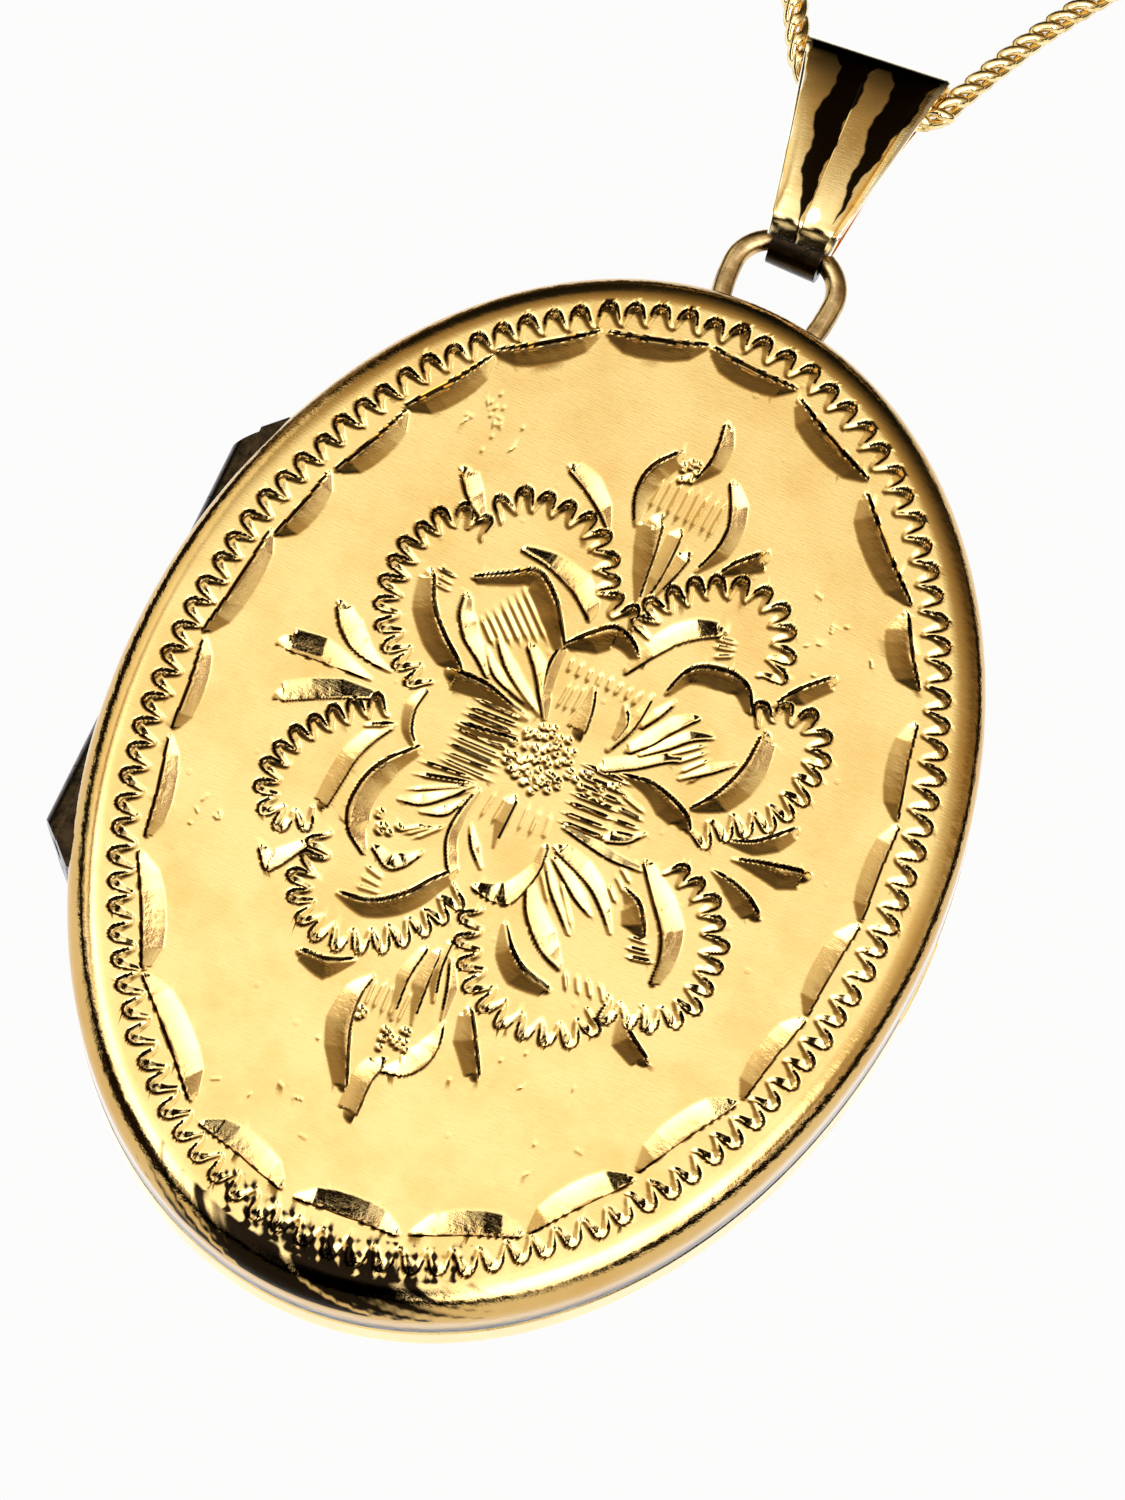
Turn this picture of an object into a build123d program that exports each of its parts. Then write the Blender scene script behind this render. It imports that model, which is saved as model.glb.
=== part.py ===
"""Oval hinged locket on a tapered bail and a fine chain, in millimetres.

+Z runs up the locket's long axis, the engraved front looks along -Y, and the hinge is on the -X side.
The origin is the middle of the chain inside the bail, where the whole pendant hangs.
"""

import os
from math import cos, pi, radians, sin

from build123d import *

# Case
HALF_WIDTH = 15.2
HALF_HEIGHT = 20.0
COVER_DEPTH = 2.45
SHOULDER_RADIUS = 1.2
WALL = 0.35
SEAM_GAP = 0.06
RIM_CHAMFER = 0.12
NICK_RADIUS = 1.6
NICK_DEPTH = 0.3

# Closing flange
FLANGE_WALL = 0.3
FLANGE_SET_IN = 1.0
FLANGE_STAND = 0.8
FLANGE_CLEARANCE = 0.06
FLANGE_START_X = -9.0

# Hinge
KNUCKLE_RADIUS = 0.8
KNUCKLE_COUNT = 5
KNUCKLE_GAP = 0.04
HINGE_HALF_LENGTH = 9.2
HINGE_FLAT_HALF_LENGTH = 7.65
HINGE_SET_BACK = 0.05
PIN_RADIUS = 0.3
PIN_CLEARANCE = 0.03
PIN_HALF_LENGTH = 8.0
TROUGH_CLEARANCE = 0.06
SLOT_HALF_DEPTH = 1.2
BEARER_REACH = 1.05

# Photo frames, windows and cards
FRAME_HALF_WIDTH = 12.95
FRAME_HALF_HEIGHT = 17.6
FRAME_WALL = 0.3
FRAME_LIP = 1.5
FRAME_DEPTH = 0.85
WINDOW_THICKNESS = 0.3
CARD_THICKNESS = 0.25

# Hanging loop
LOOP_WIRE_RADIUS = 0.39
LOOP_HALF_WIDTH = 1.97
LOOP_FLAT_HALF_WIDTH = 0.5
LOOP_ROOT_HALF_WIDTH = 1.4
LOOP_RISE = 3.2
LOOP_SET_BACK = 0.42
LOOP_ROOT_DEPTH = 1.0

# Bail
BAIL_LENGTH = 6.3
BAIL_FOLD_RADIUS = 1.35
BAIL_WALL = 0.32
BAIL_TOP_WIDTH = 5.1
BAIL_BOTTOM_WIDTH = 2.28
BAIL_LEAF_END = 0.45
FOOT_RADIUS = 0.92
FOOT_BORE_RADIUS = 0.62
FOOT_WIDTH = 1.9

# Chain
CHAIN_DIAMETER = 0.85
CHAIN_CORNER_X = 3.3
CHAIN_BEND_RADIUS = 1.6
STRAND_LENGTH = 12.4
STRAND_LEAN = 26.0

# Rings, clasp and tag
RING_WIRE_RADIUS = 0.15
LINK_RADIUS = 0.65
LINK_CENTRE = 0.82
EYE_RADIUS = 0.55
EYE_CENTRE = 1.68
CLASP_RADIUS = 2.25
CLASP_TUBE_RADIUS = 0.5
CLASP_BORE_RADIUS = 0.34
CLASP_CENTRE = 5.0
CLASP_GAP_START = 20.0
CLASP_GAP_END = 70.0
BOLT_RADIUS = 0.31
BOLT_START = 12.0
BOLT_END = 115.0
BOLT_TRAVEL = 54.0
LEVER_ANGLE = 86.0
LEVER_LENGTH = 0.95
LEVER_THICKNESS = 0.24
SLOT_CLEARANCE = 3.0
SPRING_END = 200.0
SPRING_RADIUS = 0.3
SPRING_BORE_RADIUS = 0.2
TAG_HOLE_RADIUS = 0.8
TAG_SMALL_HOLE_RADIUS = 0.42
TAG_THICKNESS = 0.45
TAG_HALF_LENGTH = 1.9
TAG_HALF_WIDTH = 1.3
TAG_SMALL_HOLE_SHIFT = -1.2
TAG_HOLE_SHIFT = 0.55
TAG_CENTRE = 2.85

FOOT_Z = -BAIL_LENGTH
CASE_Z = FOOT_Z - LOOP_RISE - HALF_HEIGHT
SEAM_Y = -LOOP_SET_BACK
HINGE_X = -(HALF_WIDTH - HINGE_SET_BACK - KNUCKLE_RADIUS)

front_side = Plane(origin=(0, SEAM_Y, CASE_Z), x_dir=(1, 0, 0), z_dir=(0, -1, 0))
back_side = Plane(origin=(0, SEAM_Y, CASE_Z), x_dir=(-1, 0, 0), z_dir=(0, 1, 0))
hinge_plane = Plane(origin=(HINGE_X, SEAM_Y, CASE_Z), x_dir=(1, 0, 0), z_dir=(0, 0, 1))

os.makedirs("parts", exist_ok=True)


def save(builder, name):
    """Label one finished piece and write it as its own file."""
    builder.part.label = name
    export_step(builder.part, f"parts/{name}.step")


def outward(side):
    """Axis from the seam towards the outer face of one half of the case."""
    return Axis(side.origin, side.z_dir)


def oval_form(side, inset, depth, radius):
    """Oval block standing on the seam of one half, with its far edge rounded."""
    with BuildPart() as form:
        with BuildSketch(side.offset(SEAM_GAP / 2)):
            Ellipse(HALF_WIDTH - inset, HALF_HEIGHT - inset)
        extrude(amount=depth - SEAM_GAP / 2)
        fillet(form.faces().sort_by(outward(side))[-1].edges(), radius)
    return form.part


def half_shell(side):
    """One half of the case: a shallow oval dish, slotted for the hinge, with a chamfered rim."""
    with BuildPart() as shell:
        add(oval_form(side, 0, COVER_DEPTH, SHOULDER_RADIUS))
        chamfer(shell.faces().sort_by(outward(side))[0].edges(), RIM_CHAMFER)
        add(oval_form(side, WALL, COVER_DEPTH - WALL, SHOULDER_RADIUS - WALL), mode=Mode.SUBTRACT)
        with BuildSketch(hinge_plane.offset(-HINGE_HALF_LENGTH)):
            with Locations((BEARER_REACH, 0)):
                Rectangle(2 * HALF_WIDTH, 2 * SLOT_HALF_DEPTH, align=(Align.MAX, Align.CENTER))
        extrude(amount=2 * HINGE_HALF_LENGTH, mode=Mode.SUBTRACT)
    return shell


# Case halves
front_cover = half_shell(front_side)
save(front_cover, "front_cover")

with BuildPart() as back_cover:
    add(half_shell(back_side).part)
    # Nail nick in the rim, opposite the hinge
    with BuildSketch(Plane(origin=(HALF_WIDTH + NICK_RADIUS - NICK_DEPTH, SEAM_Y, CASE_Z))):
        Circle(NICK_RADIUS)
    extrude(amount=NICK_RADIUS, both=True, mode=Mode.SUBTRACT)
save(back_cover, "back_cover")

# Closing flange: set in the back half, standing into the front half
with BuildPart() as closing_flange:
    flange_inset = WALL + FLANGE_WALL
    with BuildSketch(back_side.offset(SEAM_GAP / 2)):
        Ellipse(HALF_WIDTH - WALL, HALF_HEIGHT - WALL)
        Ellipse(HALF_WIDTH - flange_inset, HALF_HEIGHT - flange_inset, mode=Mode.SUBTRACT)
    extrude(amount=FLANGE_SET_IN)
    with BuildSketch(front_side.offset(-SEAM_GAP / 2)):
        Ellipse(HALF_WIDTH - WALL - FLANGE_CLEARANCE, HALF_HEIGHT - WALL - FLANGE_CLEARANCE)
        Ellipse(HALF_WIDTH - flange_inset, HALF_HEIGHT - flange_inset, mode=Mode.SUBTRACT)
    extrude(amount=FLANGE_STAND)
    split(bisect_by=Plane(origin=(FLANGE_START_X, 0, 0), z_dir=(1, 0, 0)))
save(closing_flange, "closing_flange")

# Hinge: the even-numbered knuckles belong to the back half, the odd-numbered ones to the front half
knuckle_pitch = 2 * HINGE_HALF_LENGTH / KNUCKLE_COUNT
knuckle_bottoms = [-HINGE_HALF_LENGTH + index * knuckle_pitch for index in range(KNUCKLE_COUNT)]


def bevel_ends():
    """File both ends of a hinge piece down to the rim at 45 degrees."""
    outer_x = HINGE_X - KNUCKLE_RADIUS
    for end in (1, -1):
        corner = (outer_x, SEAM_Y, CASE_Z + end * HINGE_FLAT_HALF_LENGTH)
        split(bisect_by=Plane(origin=corner, z_dir=(-1, 0, end)), keep=Keep.BOTTOM)


def knuckle(index, bore_radius):
    """One hinge tube on the pin."""
    bottom = knuckle_bottoms[index] + KNUCKLE_GAP / 2
    with BuildPart() as tube:
        with BuildSketch(hinge_plane.offset(bottom)):
            Circle(KNUCKLE_RADIUS)
            Circle(bore_radius, mode=Mode.SUBTRACT)
        extrude(amount=knuckle_pitch - KNUCKLE_GAP)
        bevel_ends()
    return tube


def bearer(facing, own_indexes):
    """Bar let into the rim of one half; facing is +1 for the back half and -1 for the front half."""
    with BuildPart() as bar:
        with BuildSketch(hinge_plane.offset(-HINGE_HALF_LENGTH)):
            with Locations((BEARER_REACH / 2, facing * (SLOT_HALF_DEPTH + SEAM_GAP / 2) / 2)):
                Rectangle(BEARER_REACH, SLOT_HALF_DEPTH - SEAM_GAP / 2)
        extrude(amount=2 * HINGE_HALF_LENGTH)
        for index, bottom in enumerate(knuckle_bottoms):
            clearance = 0 if index in own_indexes else TROUGH_CLEARANCE
            with BuildSketch(hinge_plane.offset(bottom)):
                Circle(KNUCKLE_RADIUS + clearance)
            extrude(amount=knuckle_pitch, mode=Mode.SUBTRACT)
        bevel_ends()
    return bar


save(bearer(1, (0, 2, 4)), "back_hinge_bearer")
save(bearer(-1, (1, 3)), "front_hinge_bearer")
for name, index in (("lower", 0), ("middle", 2), ("upper", 4)):
    save(knuckle(index, PIN_RADIUS), f"back_knuckle_{name}")
for name, index in (("lower", 1), ("upper", 3)):
    save(knuckle(index, PIN_RADIUS + PIN_CLEARANCE), f"front_knuckle_{name}")

with BuildPart() as hinge_pin:
    with BuildSketch(hinge_plane.offset(-PIN_HALF_LENGTH)):
        Circle(PIN_RADIUS)
    extrude(amount=2 * PIN_HALF_LENGTH)
save(hinge_pin, "hinge_pin")

# Photo frames, windows and cards: the same set in each half
floor_depth = COVER_DEPTH - WALL
frame_mouth = floor_depth - FRAME_DEPTH
window_mouth = frame_mouth + FRAME_WALL
card_mouth = floor_depth - CARD_THICKNESS


def oval_sheet(side, mouth, thickness):
    """Flat oval sheet that fits inside the frame's skirt."""
    with BuildPart() as sheet:
        with BuildSketch(side.offset(mouth)):
            Ellipse(FRAME_HALF_WIDTH - FRAME_WALL, FRAME_HALF_HEIGHT - FRAME_WALL)
        extrude(amount=thickness)
    return sheet


def photo_frame(side):
    """Oval bezel with a flat lip over the window and a skirt down to the floor of the half."""
    with BuildPart() as bezel:
        with BuildSketch(side.offset(frame_mouth)):
            Ellipse(FRAME_HALF_WIDTH, FRAME_HALF_HEIGHT)
            Ellipse(FRAME_HALF_WIDTH - FRAME_LIP, FRAME_HALF_HEIGHT - FRAME_LIP, mode=Mode.SUBTRACT)
        extrude(amount=FRAME_WALL)
        with BuildSketch(side.offset(window_mouth)):
            Ellipse(FRAME_HALF_WIDTH, FRAME_HALF_HEIGHT)
            Ellipse(FRAME_HALF_WIDTH - FRAME_WALL, FRAME_HALF_HEIGHT - FRAME_WALL, mode=Mode.SUBTRACT)
        extrude(amount=FRAME_DEPTH - FRAME_WALL)
    return bezel


for half, side in (("back", back_side), ("front", front_side)):
    save(photo_frame(side), f"{half}_photo_frame")
    save(oval_sheet(side, window_mouth, WINDOW_THICKNESS), f"{half}_window")
    save(oval_sheet(side, card_mouth, CARD_THICKNESS), f"{half}_photo_card")

# Hanging loop: a wire arch whose two feet meet the wall of the back half
loop_side = Plane(origin=(0, 0, CASE_Z), x_dir=(1, 0, 0), z_dir=(0, -1, 0))
loop_root = HALF_HEIGHT - LOOP_ROOT_DEPTH
loop_top = HALF_HEIGHT + LOOP_RISE
loop_corner_radius = LOOP_HALF_WIDTH - LOOP_FLAT_HALF_WIDTH
with BuildPart() as hanging_loop:
    with BuildLine(loop_side) as loop_path:
        flat = Line((0, loop_top), (LOOP_FLAT_HALF_WIDTH, loop_top))
        corner = TangentArc(flat @ 1, (LOOP_HALF_WIDTH, loop_top - loop_corner_radius), tangent=flat % 1)
        TangentArc(corner @ 1, (LOOP_ROOT_HALF_WIDTH, loop_root), tangent=corner % 1)
        mirror(about=Plane.YZ)
    loop_wire = loop_path.wire()
    with BuildSketch(Plane(origin=loop_wire @ 0, z_dir=loop_wire % 0)):
        Circle(LOOP_WIRE_RADIUS)
    sweep(path=loop_wire)
    with BuildSketch(loop_side):
        Ellipse(HALF_WIDTH, HALF_HEIGHT)
    extrude(amount=COVER_DEPTH, both=True, mode=Mode.SUBTRACT)
save(hanging_loop, "hanging_loop")


# Bail: a tapered strip folded over the chain, its two leaf ends on the foot tube
def strap_outline(fold_radius, end_radius):
    """Side view of the strip: two circles, over the chain and the foot, and the tangents between."""
    with BuildSketch(Plane.YZ) as outline:
        Circle(fold_radius)
        with Locations((0, FOOT_Z)):
            Circle(end_radius)
        make_hull()
    return outline.sketch


bail_bottom_z = FOOT_Z - BAIL_LEAF_END
with BuildPart() as bail:
    extrude(strap_outline(BAIL_FOLD_RADIUS, FOOT_RADIUS + BAIL_WALL), amount=BAIL_TOP_WIDTH, both=True)
    extrude(
        strap_outline(BAIL_FOLD_RADIUS - BAIL_WALL, FOOT_RADIUS),
        amount=BAIL_TOP_WIDTH,
        both=True,
        mode=Mode.SUBTRACT,
    )
    with BuildSketch(Plane.XZ):
        with BuildLine():
            Polyline(
                (-BAIL_TOP_WIDTH / 2, BAIL_FOLD_RADIUS),
                (BAIL_TOP_WIDTH / 2, BAIL_FOLD_RADIUS),
                (BAIL_BOTTOM_WIDTH / 2, bail_bottom_z),
                (-BAIL_BOTTOM_WIDTH / 2, bail_bottom_z),
                close=True,
            )
        make_face()
    extrude(amount=2 * BAIL_FOLD_RADIUS, both=True, mode=Mode.INTERSECT)
save(bail, "bail")

with BuildPart() as bail_foot:
    with BuildSketch(Plane.YZ):
        with Locations((0, FOOT_Z)):
            Circle(FOOT_RADIUS)
            Circle(FOOT_BORE_RADIUS, mode=Mode.SUBTRACT)
    extrude(amount=FOOT_WIDTH / 2, both=True)
save(bail_foot, "bail_foot")

# Chain: one strand through the bail, pulled up on both sides
lean = radians(STRAND_LEAN)
chain_end_x = CHAIN_CORNER_X + STRAND_LENGTH * sin(lean)
chain_end_z = STRAND_LENGTH * cos(lean)
with BuildPart() as chain:
    with BuildLine(Plane.XZ) as chain_path:
        FilletPolyline(
            (-chain_end_x, chain_end_z),
            (-CHAIN_CORNER_X, 0),
            (CHAIN_CORNER_X, 0),
            (chain_end_x, chain_end_z),
            radius=CHAIN_BEND_RADIUS,
        )
    with BuildSketch(Plane(origin=chain_path.line @ 0, z_dir=chain_path.line % 0)):
        Circle(CHAIN_DIAMETER / 2)
    sweep()
save(chain, "chain")
chain_length = chain_path.wire().length
section_area = pi * CHAIN_DIAMETER**2 / 4
print("chain radii", CHAIN_BEND_RADIUS, "length", chain_length)
print("chain volume", chain.part.volume, "section x length", section_area * chain_length)


# Fittings on the chain's two ends. Each strand has its own plane: local x runs out along the strand
# from the chain's end, local z is square to the necklace's plane.
def strand_plane(side):
    """Plane at the end of one strand; side is -1 on the left and +1 on the right."""
    return Plane(
        origin=(side * chain_end_x, 0, chain_end_z),
        x_dir=(side * sin(lean), 0, cos(lean)),
        z_dir=(0, 1, 0),
    )


def wire_ring(plane, centre, radius):
    """Closed ring of round wire, in the given plane."""
    with BuildPart() as ring:
        with BuildSketch(Plane(origin=plane.from_local_coords((centre, radius, 0)), z_dir=plane.x_dir)):
            Circle(RING_WIRE_RADIUS)
        revolve(axis=Axis(plane.from_local_coords((centre, 0, 0)), plane.z_dir))
    return ring


def turned(plane):
    """The same strand plane turned a quarter about the strand."""
    return Plane(origin=plane.origin, x_dir=plane.x_dir, z_dir=plane.y_dir)


left = strand_plane(-1)
right = strand_plane(1)
save(wire_ring(turned(left), LINK_CENTRE, LINK_RADIUS), "clasp_link")
save(wire_ring(turned(right), LINK_CENTRE, LINK_RADIUS), "end_link")

# Bolt ring: angles are measured in its plane from the outward direction of the strand
clasp_origin = left.from_local_coords((CLASP_CENTRE, 0, 0))
clasp_plane = Plane(origin=clasp_origin, x_dir=left.x_dir, z_dir=left.z_dir)
clasp_axis = Axis(clasp_plane.origin, clasp_plane.z_dir)


def ring_section(angle):
    """Plane square to the bolt ring's centre line, at an angle round it."""
    turn = radians(angle)
    return Plane(
        origin=clasp_plane.from_local_coords((CLASP_RADIUS * cos(turn), CLASP_RADIUS * sin(turn), 0)),
        x_dir=clasp_plane.from_local_coords((cos(turn), sin(turn), 0)) - clasp_plane.origin,
        z_dir=clasp_plane.from_local_coords((-sin(turn), cos(turn), 0)) - clasp_plane.origin,
    )


def ring_stretch(start, end, radius, bore_radius=0):
    """Round rod or tube along part of the bolt ring's centre line."""
    with BuildPart() as stretch:
        with BuildSketch(ring_section(start)):
            Circle(radius)
            if bore_radius:
                Circle(bore_radius, mode=Mode.SUBTRACT)
        revolve(axis=clasp_axis, revolution_arc=end - start)
    return stretch


with BuildPart() as clasp_body:
    add(ring_stretch(CLASP_GAP_END, CLASP_GAP_START + 360, CLASP_TUBE_RADIUS, CLASP_BORE_RADIUS).part)
    # Slot that the thumb lever runs in
    with BuildSketch(ring_section(LEVER_ANGLE - SLOT_CLEARANCE)):
        Rectangle(LEVER_LENGTH, LEVER_THICKNESS + 0.06, align=(Align.MIN, Align.CENTER))
    revolve(axis=clasp_axis, revolution_arc=BOLT_TRAVEL + 2 * SLOT_CLEARANCE, mode=Mode.SUBTRACT)
save(clasp_body, "clasp_body")

with BuildPart() as clasp_eye:
    add(wire_ring(left, EYE_CENTRE, EYE_RADIUS).part)
    add(ring_stretch(160, 200, CLASP_TUBE_RADIUS).part, mode=Mode.SUBTRACT)
save(clasp_eye, "clasp_eye")

with BuildPart() as clasp_bolt:
    add(ring_stretch(BOLT_START, BOLT_END, BOLT_RADIUS).part)
    # Thumb lever
    with BuildSketch(ring_section(LEVER_ANGLE)):
        Rectangle(LEVER_LENGTH, LEVER_THICKNESS, align=(Align.MIN, Align.CENTER))
    extrude(amount=LEVER_THICKNESS / 2, both=True)
save(clasp_bolt, "clasp_bolt")

save(ring_stretch(BOLT_END, SPRING_END, SPRING_RADIUS, SPRING_BORE_RADIUS), "clasp_spring")

# Tag on the other end: the bolt ring clips into its large hole
tag_origin = right.from_local_coords((TAG_CENTRE, 0, 0))
tag_plane = Plane(origin=tag_origin, x_dir=right.x_dir, z_dir=right.z_dir)
with BuildPart() as end_tag:
    with BuildSketch(tag_plane):
        Ellipse(TAG_HALF_LENGTH, TAG_HALF_WIDTH)
        with Locations((TAG_SMALL_HOLE_SHIFT, 0)):
            Circle(TAG_SMALL_HOLE_RADIUS, mode=Mode.SUBTRACT)
        with Locations((TAG_HOLE_SHIFT, 0)):
            Circle(TAG_HOLE_RADIUS, mode=Mode.SUBTRACT)
    extrude(amount=TAG_THICKNESS / 2, both=True)
save(end_tag, "end_tag")

tag_hole = tag_plane.from_local_coords((TAG_HOLE_SHIFT, 0, 0))
print("foot z", FOOT_Z, "case z", CASE_Z, "seam y", SEAM_Y, "hinge x", HINGE_X)
print("clasp centre", clasp_plane.origin, "axis", clasp_plane.z_dir, "tag hole", tag_hole)
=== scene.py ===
"""Looks for the oval hinged locket: engraved front, curb chain, gold with wear, studio light.

Lengths in the tables are millimetres. On the front, u runs right and v up from the middle of the case.
"""

import math

import bmesh
import bpy
import numpy as np
from mathutils import Matrix, Vector


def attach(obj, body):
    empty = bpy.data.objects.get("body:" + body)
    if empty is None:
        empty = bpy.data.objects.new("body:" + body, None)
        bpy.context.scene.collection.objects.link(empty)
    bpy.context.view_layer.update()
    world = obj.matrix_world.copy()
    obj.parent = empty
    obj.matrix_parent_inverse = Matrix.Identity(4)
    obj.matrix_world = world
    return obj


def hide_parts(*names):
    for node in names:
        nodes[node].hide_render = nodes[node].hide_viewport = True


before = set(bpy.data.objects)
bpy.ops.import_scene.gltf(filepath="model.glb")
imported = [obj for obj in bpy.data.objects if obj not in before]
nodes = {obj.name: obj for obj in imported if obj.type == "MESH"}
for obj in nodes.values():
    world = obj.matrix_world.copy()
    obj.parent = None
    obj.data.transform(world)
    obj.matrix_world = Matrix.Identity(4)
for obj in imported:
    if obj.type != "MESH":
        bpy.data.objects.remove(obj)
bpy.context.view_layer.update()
scene = bpy.context.scene
MM = 0.001

# Sizes repeated from the part
HALF_WIDTH, HALF_HEIGHT, COVER_DEPTH = 15.2, 20.0, 2.45
SHOULDER, WALL, CHAMFER, HALF_SEAM = 1.2, 0.35, 0.12, 0.03
SLOT_DEPTH, SLOT_HALF_LENGTH = 1.2, 9.2
SEAM_Y, CASE_Z = -0.42, -29.5
DEEPEST = 0.24          # most that any cut goes into the face
FOOT_Z = -6.3


def new_object(name, data):
    obj = bpy.data.objects.new(name, data)
    scene.collection.objects.link(obj)
    return obj


def mesh_object(name, points, faces, material, smooth_angle=40.0, tones=None):
    """A mesh piece from points in millimetres. A point's tone is -1 where black painted shade or a painted dark
    reflection is laid on, 1 where a pale painted highlight is laid on in patches and 2 where it is laid on all
    over."""
    mesh = bpy.data.meshes.new(name)
    mesh.from_pydata((np.asarray(points, dtype=float) * MM).tolist(), [], faces)
    mesh.validate()
    shape = bmesh.new()
    shape.from_mesh(mesh)
    bmesh.ops.recalc_face_normals(shape, faces=shape.faces)
    shape.to_mesh(mesh)
    shape.free()
    mesh.shade_smooth()
    mesh.set_sharp_from_angle(angle=math.radians(smooth_angle))
    mesh.materials.append(material)
    if tones is not None:
        mesh.attributes.new("tone", "FLOAT", "POINT").data.foreach_set("value", np.asarray(tones, dtype=float))
    return new_object(name, mesh)


def bands(rings):
    """Quads between each ring of point numbers and the next; the rings are closed."""
    return [(a[k - 1], a[k], b[k], b[k - 1]) for a, b in zip(rings, rings[1:]) for k in range(len(a))]


# ------------------------ camera

def place_camera():
    """Long lens a little to the right of and below the face, rolled with the locket's lean."""
    data = bpy.data.cameras.new("camera")
    camera = new_object("camera", data)
    right = Vector((0.9076, -0.0076, 0.4198)).normalized()
    back = Vector((0.1205, -0.9530, -0.2779)).normalized()
    up = back.cross(right).normalized()
    right = up.cross(back)
    place = Matrix((right, up, back)).transposed().to_4x4()
    place.translation = Vector((48.53, -382.23, -138.46)) * MM
    camera.matrix_world = place
    data.sensor_fit = "HORIZONTAL"
    data.sensor_width = 36.0
    data.lens = 363.0
    data.clip_start = 0.01
    data.clip_end = 20.0
    scene.camera = camera


place_camera()


# ------------------------ node helpers

class Nodes:
    """Short calls for building one node tree."""

    def __init__(self, tree):
        self.tree = tree
        tree.nodes.clear()

    def add(self, kind, inputs=(), **settings):
        node = self.tree.nodes.new(kind)
        for key, value in settings.items():
            setattr(node, key, value)
        for key, value in dict(inputs).items():
            if isinstance(value, bpy.types.NodeSocket):
                self.tree.links.new(value, node.inputs[key])
            else:
                node.inputs[key].default_value = value
        return node

    def math(self, operation, a, b=0.0, c=0.0):
        return self.add("ShaderNodeMath", {0: a, 1: b, 2: c}, operation=operation).outputs[0]

    def ramp(self, factor, stops):
        node = self.add("ShaderNodeValToRGB", {"Fac": factor})
        band = node.color_ramp
        while len(band.elements) < len(stops):
            band.elements.new(0.5)
        for element, (place, shade) in zip(band.elements, stops):
            element.position = place
            element.color = (*shade, 1.0) if isinstance(shade, tuple) else (shade, shade, shade, 1.0)
        return node.outputs["Color"]

    def noise(self, vector, scale, detail=2.0, roughness=0.5, distortion=0.0):
        inputs = {"Vector": vector, "Scale": scale, "Detail": detail, "Roughness": roughness,
                  "Distortion": distortion}
        return self.add("ShaderNodeTexNoise", inputs).outputs["Fac"]

    def smooth(self, value, low, high, to_low=0.0, to_high=1.0):
        inputs = {"Value": value, "From Min": low, "From Max": high, "To Min": to_low, "To Max": to_high}
        node = self.add("ShaderNodeMapRange", inputs, interpolation_type="SMOOTHSTEP")
        return node.outputs["Result"]

    def mix(self, factor, a, b):
        node = self.add("ShaderNodeMix", data_type="RGBA")
        for index, value in ((0, factor), (6, a), (7, b)):
            if isinstance(value, bpy.types.NodeSocket):
                self.tree.links.new(value, node.inputs[index])
            else:
                node.inputs[index].default_value = (*value, 1.0) if isinstance(value, tuple) else value
        return node.outputs[2]


def new_material(name):
    """A material, its nodes, and the place on the object that every pattern is read from."""
    material = bpy.data.materials.new(name)
    material.use_nodes = True
    n = Nodes(material.node_tree)
    return material, n, n.add("ShaderNodeTexCoord").outputs["Object"]


def finish_material(n, shader):
    n.add("ShaderNodeOutputMaterial", {"Surface": shader.outputs[0]})


# Colours laid on the metal: a brown that grows deeper in the cuts, black for painted shade and painted dark
# reflections, and a pale gold for painted highlights.
CUT_BROWN, PAINTED_SHADE, PAINTED_HIGHLIGHT = (0.34, 0.17, 0.04), (0.012, 0.007, 0.003), (1.0, 0.92, 0.70)


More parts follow.
